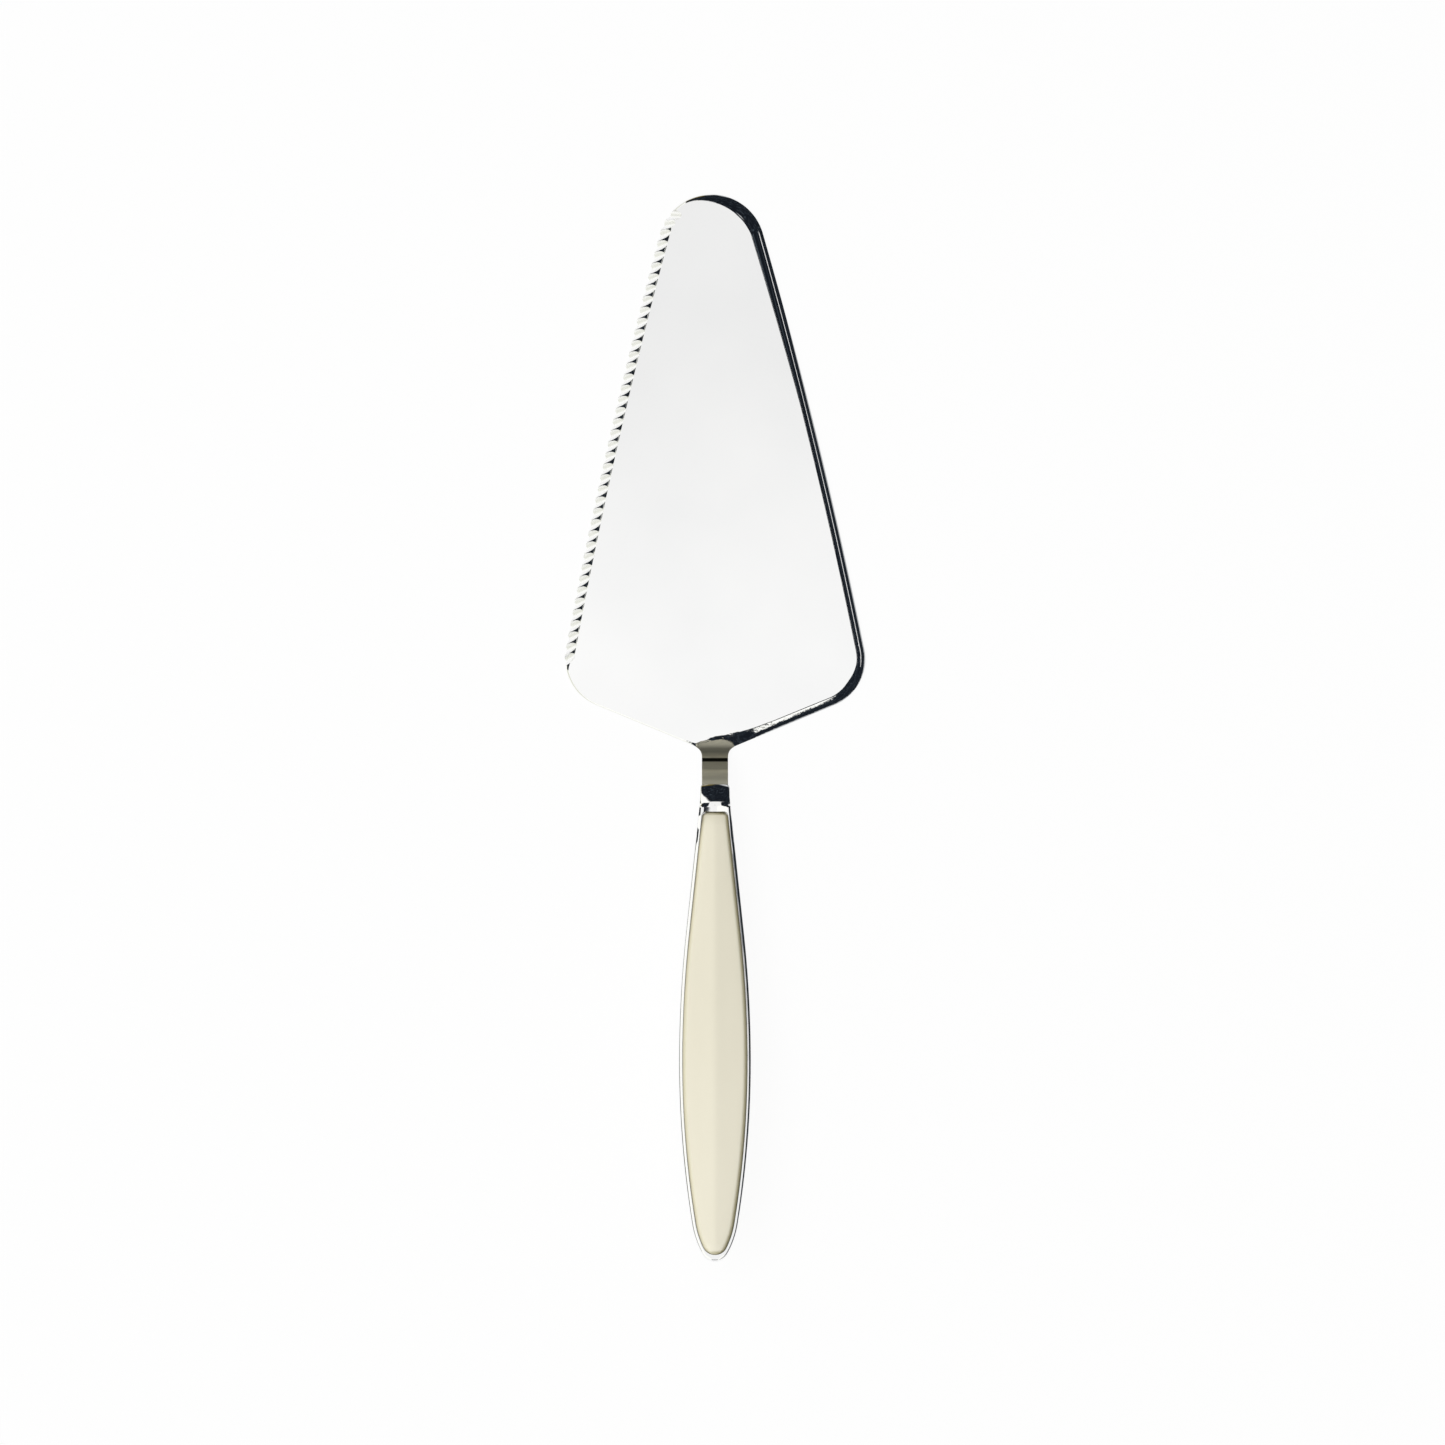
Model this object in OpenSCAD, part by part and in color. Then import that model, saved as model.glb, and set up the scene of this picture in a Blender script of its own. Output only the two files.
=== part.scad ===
// Cake server with a pressed steel blade and a steel handle frame that holds two moulded inlays.
// Millimetres. The flat blade lies on the table at z = 0 and its tip points along +Y.
// The origin is the middle of the bounding box, at table height. The serrated edge is on -X.

/* [Blade] */
// Length of the blade from its tip to the root of the neck
blade_len = 130.1; // [115:0.1:150]
// Greatest width of the blade, across its rear corners
blade_w = 70.6; // [60:0.2:80]
// Thickness of the steel sheet
blade_t = 1.8; // [1.4:0.1:2.4]
// Radius of the rounded tip
tip_r = 12.65; // [9:0.05:16]
// Distance by which the tip leans towards the serrated side
tip_shift = 0.85; // [0:0.05:2]
// Radius of the two rear corners
corner_r = 11.7; // [8:0.1:15]
// Radius of the long bowed sides
side_r = 1250; // [700:10:3000]
// Angle at which the rear edges run back to the neck
rear_angle = 22.5; // [15:0.5:30]
// Width of the bevelled margin
margin_w = 2; // [1:0.1:3]
// Height that the margin drops towards the edge
margin_drop = 0.7; // [0.3:0.05:0.9]

/* [Serration] */
// Distance between two teeth along the edge
tooth_pitch = 2.69; // [2.2:0.01:3.2]
// Number of ground flutes
tooth_count = 41; // [20:1:42]
// Distance from the start of the long side back to the first flute, round the tip
flute_lead = 5.4; // [1:0.1:9]
// Radius of the grinding wheel's rim that leaves each flute
flute_r = 2.6; // [2:0.1:4]
// Distance that a flute runs in over the flat face
flute_reach = 1.8; // [1.2:0.05:2.4]
// Depth of the scallop that a flute leaves in the outline
flute_bite = 0.5; // [0.3:0.05:0.8]

/* [Neck] */
// Width of the neck strip
neck_w = 6.1; // [5:0.1:7]
// Radius of the fillet between the neck and a rear edge
neck_fillet_r = 2.4; // [1.5:0.1:3]
// Distance by which the lower bend starts ahead of the neck's root
bend_lead = 1.1; // [0.2:0.1:2]
// Steepest angle of the neck
neck_angle = 60; // [40:1:70]
// Inner radius of the lower bend
lower_bend_r = 4.2; // [3:0.1:8]
// Inner radius of the upper bend
upper_bend_r = 2.6; // [2:0.1:6]
// Straight length between the two bends
ramp_len = 4; // [2:0.1:14]
// Straight length between the upper bend and the bolster
neck_tail = 0.5; // [0.2:0.1:6]
// Width of the tang inside the handle
tang_w = 4.4; // [3.6:0.1:4.8]
// Length of the tang inside the handle
tang_len = 26; // [22:0.5:40]

/* [Handle] */
// Length of the handle from the front of the bolster to its end
handle_len = 112.5; // [100:0.1:125]
// Greatest width of the handle
handle_w = 16.9; // [15:0.1:20]
// Angle at which the handle rises from the table
handle_slope = 8; // [2:0.5:16]
// Width of the bolster where the neck enters it
bolster_w = 7; // [6.6:0.1:8]
// Thickness of the bolster where the neck enters it
bolster_front_t = 3.5; // [3:0.1:4.4]
// Thickness of the bolster at its crest
bolster_t = 5.8; // [5:0.1:7]
// Distance from the front of the bolster to its crest
bolster_crest = 4.6; // [3:0.1:5.5]
// Thickness of the rim round the inlays
rim_t = 3.8; // [3.2:0.1:4.6]
// Length over which the bolster thins down to the rim
rim_blend = 9; // [5:0.5:16]
// Half angle at which the handle flares behind the bolster
flare_angle = 6; // [5:0.1:7]
// Radius of each side ahead of the widest place
front_r = 290; // [240:5:320]
// Radius of each side behind the widest place
tail_r = 238; // [200:2:280]
// Angle through which the tail side turns before the shoulder
shoulder_angle = 9.2; // [8:0.1:10]
// Radius of the shoulder ahead of the nose
shoulder_r = 22; // [19:0.5:24]
// Radius of the nose at the end of the handle
nose_r = 3.3; // [2.5:0.1:4]

/* [Inlays] */
// Distance from the front of the bolster to the inlay
inlay_start = 6.65; // [6:0.05:9]
// Width of the steel rim beside the inlay
rim_w = 0.85; // [0.6:0.05:1.4]
// Width of the steel rim at the end of the handle
end_rim_w = 1.5; // [1:0.1:2.5]
// Radius of the inlay's own nose
inlay_nose_r = 3; // [2:0.1:3.6]
// Radius of the inlay's two front corners in plan
inlay_corner_r = 0.9; // [0.5:0.1:1.5]
// Height of the crest above the handle's mid plane at the front
crest_front = 2.7; // [2.5:0.1:3]
// Height of the crest above the handle's mid plane at the widest place
crest_mid = 3.5; // [3.2:0.1:4.2]
// Height of the crest above the handle's mid plane near the end
crest_end = 2.9; // [2.6:0.1:3.4]
// Angle of the two faces that meet in the soft central ridge
roof_angle = 6; // [2:0.5:9]
// Width of the rounded shoulder along the inlay
inlay_round_w = 1.4; // [0.6:0.1:2]
// Height of the rounded shoulder along the inlay
inlay_round_h = 0.8; // [0.4:0.1:1]

/* [Pins] */
// Diameter of the hidden locating pins
pin_d = 2.4; // [1.6:0.1:2.8]
// Length of a pin inside each inlay
pin_grip = 1; // [0.6:0.1:1.2]
// Distance from the front of the bolster to the pin in the tang
tang_pin_at = 18; // [14:0.5:20]
// Distance from the front of the bolster to the middle pin
mid_pin_at = 58; // [40:1:70]
// Distance from the front of the bolster to the rear pin
rear_pin_at = 94; // [80:1:100]

/* [Fits] */
// Clearance on each side between pieces that are fitted together
fit_gap = 0.05; // [0.03:0.01:0.1]

/* [Hidden] */
$fn = 96;

// One overrun serves every cut
over = 1;
edge_t = blade_t - margin_drop;
web_t = blade_t;
// The flanks of the handle are rounded by this share of its half thickness
flank_share = 0.75;
rim_flank_r = rim_t / 2 * flank_share;

// Places in the blade's plan. The root of the neck is at y = 0 until the part is centred
corner_x = blade_w / 2 - corner_r;
corner_y = (corner_x - neck_w / 2) * tan(rear_angle) + corner_r / cos(rear_angle);
right_corner = [corner_x, corner_y];
left_corner = [-corner_x, corner_y];
tip_center = [-tip_shift, blade_len - tip_r];

// Point at distance ra from a and rb from b, on the left of the way from a to b
function cross_point(a, ra, b, rb) =
    let (d = norm(b - a), u = (b - a) / d)
    let (along = (d * d + ra * ra - rb * rb) / (2 * d))
    a + u * along + [-u[1], u[0]] * sqrt(ra * ra - along * along);
function heading(from, to) = atan2(to[1] - from[1], to[0] - from[0]);
function full_turn(a) = a < 0 ? a + 360 : a;
function on_circle(c, r, a) = c + r * [cos(a), sin(a)];
function arc(c, r, a0, a1, n) = [for (i = [0:n]) on_circle(c, r, a0 + (a1 - a0) * i / n)];

right_side = cross_point(right_corner, side_r - corner_r, tip_center, side_r - tip_r);
left_side = cross_point(tip_center, side_r - tip_r, left_corner, side_r - corner_r);
right_low = heading(right_side, right_corner);
right_high = heading(right_side, tip_center);
left_high = full_turn(heading(left_side, tip_center));
left_low = full_turn(heading(left_side, left_corner));

// Convex outline of the blade, moved in by a given distance
module blade_plan(inset = 0) {
    root_y = inset / cos(rear_angle);
    polygon(concat(
        arc(right_corner, corner_r - inset, rear_angle - 90, right_low, 10),
        arc(right_side, side_r - inset, right_low, right_high, 12),
        arc(tip_center, tip_r - inset, right_high, left_high, 20),
        arc(left_side, side_r - inset, left_high, left_low, 12),
        arc(left_corner, corner_r - inset, left_low, 270 - rear_angle, 10),
        [[-neck_w / 2, root_y], [neck_w / 2, root_y]]
    ));
}

// Circle, radius and angle of the serrated outline, a given distance past the tip's end
side_arc_len = (left_low - left_high) * PI / 180 * side_r;
function edge_seat(s) =
    s < 0 ? [tip_center, tip_r, left_high + s / tip_r * 180 / PI]
    : s < side_arc_len ? [left_side, side_r, left_high + s / side_r * 180 / PI]
    : [left_corner, corner_r, left_low + (s - side_arc_len) / corner_r * 180 / PI];

// A flute is the path of a round wheel rim that leans over the edge
flute_lean = atan(blade_t / (flute_reach - flute_bite));
wheel_share = 0.65;
flute_half_turn = asin(tooth_pitch * wheel_share / flute_r);
module flute(s) {
    seat = edge_seat(s);
    outline_at = on_circle(seat[0], seat[1], seat[2]);
    rim = arc([0, flute_r], flute_r, 270 - flute_half_turn, 270 + flute_half_turn, 6);
    length = 2 * (blade_t + flute_r + flute_reach);
    translate([outline_at[0], outline_at[1], 0])
        rotate([0, 0, seat[2]])
            translate([-flute_bite, 0, 0])
                rotate([0, flute_lean, 0])
                    rotate([90, 0, 90])
                        linear_extrude(length, center = true)
                            polygon(concat(rim, [[rim[6][0], flute_r], [rim[0][0], flute_r]]));
}

// Side profile of the neck: u runs along +Y and v along +Z
bend_y = bend_lead;
bend_1 = [bend_y, blade_t + lower_bend_r];
bend_gap = lower_bend_r + blade_t + upper_bend_r;
bend_2 = bend_1 - bend_gap * [sin(neck_angle), cos(neck_angle)]
    + ramp_len * [-cos(neck_angle), sin(neck_angle)];
tail_start = bend_2 + (upper_bend_r + blade_t / 2) * [sin(handle_slope), cos(handle_slope)];
seat_uv = tail_start + neck_tail * [-cos(handle_slope), sin(handle_slope)];
end_uv = seat_uv + handle_len * [-cos(handle_slope), sin(handle_slope)];
middle_y = (blade_len + end_uv[0] - (rim_t / 2 - rim_flank_r) * sin(handle_slope)) / 2;

// One face of the bent sheet, from the lower bend to the tang's end, a given depth under the top face
tang_end = seat_uv + tang_len * [-cos(handle_slope), sin(handle_slope)];
function sheet_face(depth) = concat(
    arc(bend_1, lower_bend_r + depth, 270, 270 - neck_angle, 10),
    arc(bend_2, upper_bend_r + blade_t - depth, 90 - neck_angle, 90 - handle_slope, 8),
    [tang_end + (blade_t / 2 - depth) * [sin(handle_slope), cos(handle_slope)]]
);
function reversed(list) = [for (i = [len(list) - 1:-1:0]) list[i]];

// Bent sheet of even width, from the flat of the blade to the end of the tang
root_flat = margin_w / cos(rear_angle);
module neck_sheet(width) {
    rotate([90, 0, 90])
        linear_extrude(width, center = true)
            polygon(concat(
                [[root_flat, blade_t]], sheet_face(0),
                reversed(sheet_face(blade_t)), [[root_flat, 0]]
            ));
}

// Plan of the neck: a strip that widens in a fillet on each side and ends a little inside the blade
fillet_sink = 0.06;
fillet_y = neck_fillet_r * tan(rear_angle) - (neck_fillet_r - fillet_sink) / cos(rear_angle);
module neck_plan() {
    fillet_at = [neck_w / 2 + neck_fillet_r, fillet_y];
    right = concat(
        [[neck_w / 2, tang_end[0] - over]],
        arc(fillet_at, neck_fillet_r, 180, 90 + rear_angle, 6),
        [[neck_w / 2, root_flat]]
    );
    left = [for (p = reversed(right)) [-p[0], p[1]]];
    polygon(concat(right, left));
}

// Frame of the handle: its mid plane is z = 0 and it runs back along -Y from y = 0
module at_handle() {
    translate([0, seat_uv[0], seat_uv[1]]) rotate([-handle_slope, 0, 0]) children();
}

// Tail of a handle outline: centres of the shoulder and nose arcs, measured back from the widest place
function shoulder_center(half, tail, shoulder) = [
    half - tail + (tail - shoulder) * cos(shoulder_angle), (tail - shoulder) * sin(shoulder_angle)
];
function nose_angle(half, tail, shoulder, nose) =
    acos(-shoulder_center(half, tail, shoulder)[0] / (shoulder - nose));
function nose_center(half, tail, shoulder, nose) =
    shoulder_center(half, tail, shoulder)[1]
    + (shoulder - nose) * sin(nose_angle(half, tail, shoulder, nose));

// Stations of one side of a handle outline as [distance back, half width], widest at h0
function tail_side(half, h0, inset, nose) =
    let (tail = tail_r - inset, shoulder = shoulder_r - inset)
    let (c = shoulder_center(half, tail, shoulder), turn = nose_angle(half, tail, shoulder, nose))
    let (nose_h = h0 + nose_center(half, tail, shoulder, nose))
    concat(
        [for (i = [1:10]) let (a = shoulder_angle * i / 10)
            [h0 + tail * sin(a), half - tail * (1 - cos(a))]],
        [for (i = [1:4]) let (a = shoulder_angle + (turn - shoulder_angle) * i / 4)
            [h0 + c[1] + shoulder * sin(a), c[0] + shoulder * cos(a)]],
        [for (i = [1:6]) let (a = turn + (nose_last - turn) * i / 6)
            [nose_h + nose * sin(a), nose * cos(a)]]
    );
nose_last = 84;
function front_side(half, h0, inset, start) =
    let (front = front_r - inset, flare_h = h0 - front * sin(flare_angle))
    let (flare_half = half - front * (1 - cos(flare_angle)))
    concat(
        [for (i = [0:5]) let (h = start + (flare_h - start) * i / 6)
            [h, flare_half - (flare_h - h) * tan(flare_angle)]],
        [for (i = [0:8]) let (a = flare_angle * (1 - i / 8))
            [h0 - front * sin(a), half - front * (1 - cos(a))]]
    );

handle_half = handle_w / 2;
handle_h0 = handle_len - nose_r - nose_center(handle_half, tail_r, shoulder_r, nose_r);
flare_from = handle_h0 - front_r * sin(flare_angle)
    - (handle_half - front_r * (1 - cos(flare_angle)) - bolster_w / 2) / tan(flare_angle);
frame_side = concat(
    [for (i = [0:4]) [flare_from * i / 5, bolster_w / 2]],
    front_side(handle_half, handle_h0, 0, flare_from),
    tail_side(handle_half, handle_h0, 0, nose_r),
    [[handle_len, nose_r * cos(nose_last) / 2]]
);

inlay_half = handle_half - rim_w;
inlay_end = handle_len - end_rim_w;
inlay_h0 = inlay_end - inlay_nose_r
    - nose_center(inlay_half, tail_r - rim_w, shoulder_r - rim_w, inlay_nose_r);
inlay_body = front_side(inlay_half, inlay_h0, rim_w, inlay_start + inlay_corner_r);
front_half = inlay_body[0][1] - inlay_corner_r * tan(flare_angle);
inlay_side = concat(
    [for (i = [0:3]) let (a = 90 * (1 - i / 4))
        [inlay_start + inlay_corner_r * (1 - sin(a)), front_half - inlay_corner_r * (1 - cos(a))]],
    inlay_body,
    tail_side(inlay_half, inlay_h0, rim_w, inlay_nose_r),
    [[inlay_end, inlay_nose_r * cos(nose_last) / 2]]
);

// Smooth step from 0 to 1 over the stretch from a to b
function ease(h, a, b) = (1 - cos(180 * max(0, min(1, (h - a) / (b - a))))) / 2;

// Part of a rounding that is lost a given share of its radius into the rounding
function end_round(share) = 1 - sqrt(1 - share * share);

// Half thickness of the steel frame at a station
function frame_half_t(h) =
    (bolster_front_t + (bolster_t - bolster_front_t) * sin(90 * min(1, h / bolster_crest))
    - (bolster_t - rim_t) * ease(h, bolster_crest, bolster_crest + rim_blend)) / 2
    - rim_flank_r * end_round(max(0, 1 - (handle_len - h) / rim_flank_r));

// Height of the inlay's ridge at a station
function crest_z(h) =
    crest_front + (crest_mid - crest_front) * ease(h, inlay_start, inlay_h0)
    - (crest_mid - crest_end) * ease(h, inlay_h0, inlay_end)
    - inlay_round_h * end_round(max(0, 1 - (inlay_end - h) / (2 * inlay_round_w)));

// Cross section of the steel frame: a slab with rounded flanks, as [x, z] points
function frame_ring(half, half_t) =
    let (r = min(half, half_t) * flank_share)
    [for (q = [0:3]) for (i = [0:3])
        let (a = 90 * q + 30 * i)
        let (cx = (q == 0 || q == 3 ? 1 : -1) * (half - r), cz = (q < 2 ? 1 : -1) * (half_t - r))
        [cx + r * cos(a), cz + r * sin(a)]];

// Cross section of an inlay: flat base, upright wall, rounded shoulder and a roof, as [x, z] points
function inlay_flank(half, crest, side) =
    let (w = min(inlay_round_w, half / 2))
    let (eave = crest - (half - w) * tan(roof_angle))
    [for (i = [0:4]) let (a = 90 * (side > 0 ? i : 4 - i) / 4)
        [side * (half - w + w * cos(a)), eave - inlay_round_h * (1 - sin(a))]];
function inlay_ring(half, crest) = concat(
    [[half, web_t / 2]],
    inlay_flank(half, crest, 1),
    [[0, crest]],
    inlay_flank(half, crest, -1),
    [[-half, web_t / 2]]
);

// Solid through a row of rings that all have the same number of points
module loft(stations, rings) {
    rows = len(stations);
    cols = len(rings[0]);
    points = [for (i = [0:rows - 1]) for (p = rings[i]) [p[0], -stations[i][0], p[1]]];
    walls = [for (i = [0:rows - 2]) for (j = [0:cols - 1])
        let (k = (j + 1) % cols, a = i * cols, b = (i + 1) * cols)
        each [[a + j, a + k, b + k], [a + j, b + k, b + j]]];
    front = [for (j = [0:cols - 1]) cols - 1 - j];
    back = [for (j = [0:cols - 1]) (rows - 1) * cols + j];
    polyhedron(points, concat(walls, [front, back]), convexity = 6);
}

// Plan of the inlay's pocket, with the clearance all round
module inlay_plan(gap) {
    right = [for (p = inlay_side) [p[1] + gap, -p[0]]];
    left = [for (p = reversed(inlay_side)) [-p[1] - gap, -p[0]]];
    polygon(concat(right, left));
}

pin_stations = [tang_pin_at, mid_pin_at, rear_pin_at];
module pins(d, length) {
    for (h = pin_stations)
        translate([0, -h, 0]) cylinder(d = d, h = length, center = true);
}

// Cranked neck and the tang behind it, which is narrower and has a hole for the first pin
module neck() {
    side_w = neck_w - tang_w;
    difference() {
        intersection() {
            neck_sheet(2 * (neck_w + neck_fillet_r));
            linear_extrude(end_uv[1]) neck_plan();
        }
        at_handle() {
            for (side = [0, 1])
                mirror([side, 0, 0])
                    translate([tang_w / 2, -tang_len - over, -blade_t])
                        cube([side_w, tang_len + over, 2 * blade_t]);
            pins(pin_d + 2 * fit_gap, blade_t + 2 * over);
        }
    }
}

module blade() {
    color("gainsboro")
        translate([0, -middle_y, 0]) {
            difference() {
                intersection() {
                    hull() {
                        linear_extrude(edge_t) blade_plan();
                        linear_extrude(blade_t) blade_plan(margin_w);
                    }
                    translate([-blade_w, bend_y / 2, -over])
                        cube([2 * blade_w, blade_len, blade_t + 2 * over]);
                }
                for (i = [0:tooth_count - 1])
                    flute(i * tooth_pitch - flute_lead);
            }
            neck();
        }
}

module handle_frame() {
    color("silver")
        translate([0, -middle_y, 0])
            at_handle()
                difference() {
                    loft(frame_side, [for (p = frame_side) frame_ring(p[1], frame_half_t(p[0]))]);
                    for (side = [0, 1])
                        mirror([0, 0, side])
                            translate([0, 0, web_t / 2])
                                linear_extrude(bolster_t) inlay_plan(fit_gap);
                    translate([-tang_w / 2 - fit_gap, -tang_len - fit_gap, -blade_t / 2 - fit_gap])
                        cube([tang_w + 2 * fit_gap, tang_len + fit_gap + over, blade_t + 2 * fit_gap]);
                    pins(pin_d + 2 * fit_gap, web_t + 2 * over);
                }
}

module inlay() {
    difference() {
        loft(inlay_side, [for (p = inlay_side) inlay_ring(p[1], crest_z(p[0]))]);
        pins(pin_d + 2 * fit_gap, web_t + 2 * (pin_grip + fit_gap));
    }
}

module front_inlay() {
    color("cornsilk") translate([0, -middle_y, 0]) at_handle() inlay();
}

module back_inlay() {
    color("cornsilk") translate([0, -middle_y, 0]) at_handle() mirror([0, 0, 1]) inlay();
}

module locating_pins() {
    color("slategray") translate([0, -middle_y, 0]) at_handle() pins(pin_d, web_t + 2 * pin_grip);
}

blade();
handle_frame();
front_inlay();
back_inlay();
locating_pins();
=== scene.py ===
"""Cake server: a polished blade with a ground serration, a cranked neck, and a steel handle frame that
holds two cream mouldings.

Lengths are millimetres and angles are degrees, and the scale of a noise counts per metre. The meshes are in
metres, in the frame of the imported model: the blade's underside lies at z = 0, its tip points along +Y and
its serration is on -X.
"""
from __future__ import annotations

import logging
import math
from dataclasses import dataclass, field
from enum import Enum
from typing import Callable, NamedTuple, Sequence

import bmesh
import bpy
from mathutils import Matrix, Vector

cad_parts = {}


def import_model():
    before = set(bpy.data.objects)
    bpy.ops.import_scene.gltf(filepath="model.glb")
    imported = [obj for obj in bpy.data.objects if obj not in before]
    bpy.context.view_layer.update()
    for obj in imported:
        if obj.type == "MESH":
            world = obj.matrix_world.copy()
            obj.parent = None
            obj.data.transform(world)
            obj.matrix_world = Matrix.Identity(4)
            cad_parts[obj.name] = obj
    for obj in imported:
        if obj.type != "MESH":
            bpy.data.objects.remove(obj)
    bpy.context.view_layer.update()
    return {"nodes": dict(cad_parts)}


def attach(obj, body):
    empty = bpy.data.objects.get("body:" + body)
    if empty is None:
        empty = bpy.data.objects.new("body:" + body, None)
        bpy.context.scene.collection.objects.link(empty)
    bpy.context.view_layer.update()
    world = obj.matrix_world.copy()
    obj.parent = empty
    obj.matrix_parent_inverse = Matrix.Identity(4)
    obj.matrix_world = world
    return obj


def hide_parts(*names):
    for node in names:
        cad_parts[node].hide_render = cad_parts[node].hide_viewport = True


# Points nearer than SAME_POINT are one, a face within LEVEL of a height lies at it, and a face whose normal
# has more than FACING along an axis faces that way. The distances are in metres.
MM = 0.001
SAME_POINT = 1e-7
LEVEL = 1e-6
FACING = 0.9
BODY = "root"
# Point attribute that holds the share of painted shade along the inlays' edge.
PAINTED_SHADE_SHARE = "painted_shade_share"
NOISE_LOW, NOISE_HIGH = 0.3, 0.7
Plan = tuple[float, float]
Point = tuple[float, float, float]
Table = tuple[Plan, ...]
Socket = bpy.types.NodeSocket
log = logging.getLogger("cake_server")


class Slot(Enum):
    """The record's material slots."""

    BLADE = "blade_steel"
    FRAME = "frame_steel"
    PLASTIC = "cream_plastic"
    PIN = "pin_steel"


class Face(Enum):
    """The two faces of the handle that carry an inlay."""

    FRONT = 1
    BACK = -1


# Arithmetic of arcs and tables


def sin(angle: float) -> float:
    """Returns the sine of an angle in degrees."""
    return math.sin(math.radians(angle))


def cos(angle: float) -> float:
    """Returns the cosine of an angle in degrees."""
    return math.cos(math.radians(angle))


def tan(angle: float) -> float:
    """Returns the tangent of an angle in degrees."""
    return math.tan(math.radians(angle))


def ease(value: float, start: float, end: float) -> float:
    """Returns a smooth step, which is 0 at start, 1 at end and a cosine between them."""
    share = max(0.0, min(1.0, (value - start) / (end - start)))
    return (1 - math.cos(math.pi * share)) / 2


def fall(share: float) -> float:
    """Returns how far a round of radius 1 has fallen at a share of its run, from 0 to 1."""
    return 1 - math.sqrt(max(0.0, 1 - share * share))


def along_table(table: Sequence[Plan], value: float) -> float:
    """Returns a table's value between its entries.

    Args:
        table: Places and their values, in order.
        value: The place.

    Returns:
        The value, on the straight way between two entries, or that of the nearer end.
    """
    for (start, low), (end, high) in zip(table, table[1:]):
        if value <= end:
            return low + (high - low) * max(0.0, value - start) / (end - start)
    return table[-1][1]


def on_circle(center: Plan, radius: float, angle: float) -> Plan:
    """Returns the point of a circle at an angle."""
    return center[0] + radius * cos(angle), center[1] + radius * sin(angle)


def heading(start: Plan, end: Plan) -> float:
    """Returns the angle of the way from one point to another, from 0 to 360."""
    return math.degrees(math.atan2(end[1] - start[1], end[0] - start[0])) % 360


def cross_point(a: Plan, ra: float, b: Plan, rb: float) -> Plan:
    """Returns the point where two circles cross.

    Args:
        a: Centre of the first circle.
        ra: Radius of the first circle.
        b: Centre of the second circle.
        rb: Radius of the second circle.

    Returns:
        The crossing on the left of the way from a to b.
    """
    span = math.dist(a, b)
    ux, uy = (b[0] - a[0]) / span, (b[1] - a[1]) / span
    along = (span * span + ra * ra - rb * rb) / (2 * span)
    off = math.sqrt(ra * ra - along * along)
    return a[0] + ux * along - uy * off, a[1] + uy * along + ux * off


def moved(x: float, y: float, z: float) -> Matrix:
    """Returns the matrix of a move in millimetres."""
    return Matrix.Translation(Vector((x, y, z)) * MM)


def turned(angle: float, axis: str) -> Matrix:
    """Returns the matrix of a turn round the axis X, Y or Z."""
    return Matrix.Rotation(math.radians(angle), 4, axis)


class Arc(NamedTuple):
    """Stretch of a circle, from one angle up to another in a number of chords."""

    center: Plan
    radius: float
    low: float
    high: float
    steps: int

    def points(self, inside: float) -> list[Plan]:
        """Returns the arc's points, both ends among them, moved inwards by a distance."""
        angles = [self.low + (self.high - self.low) * i / self.steps for i in range(self.steps + 1)]
        return [on_circle(self.center, self.radius - inside, angle) for angle in angles]


# Modelling bench


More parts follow.
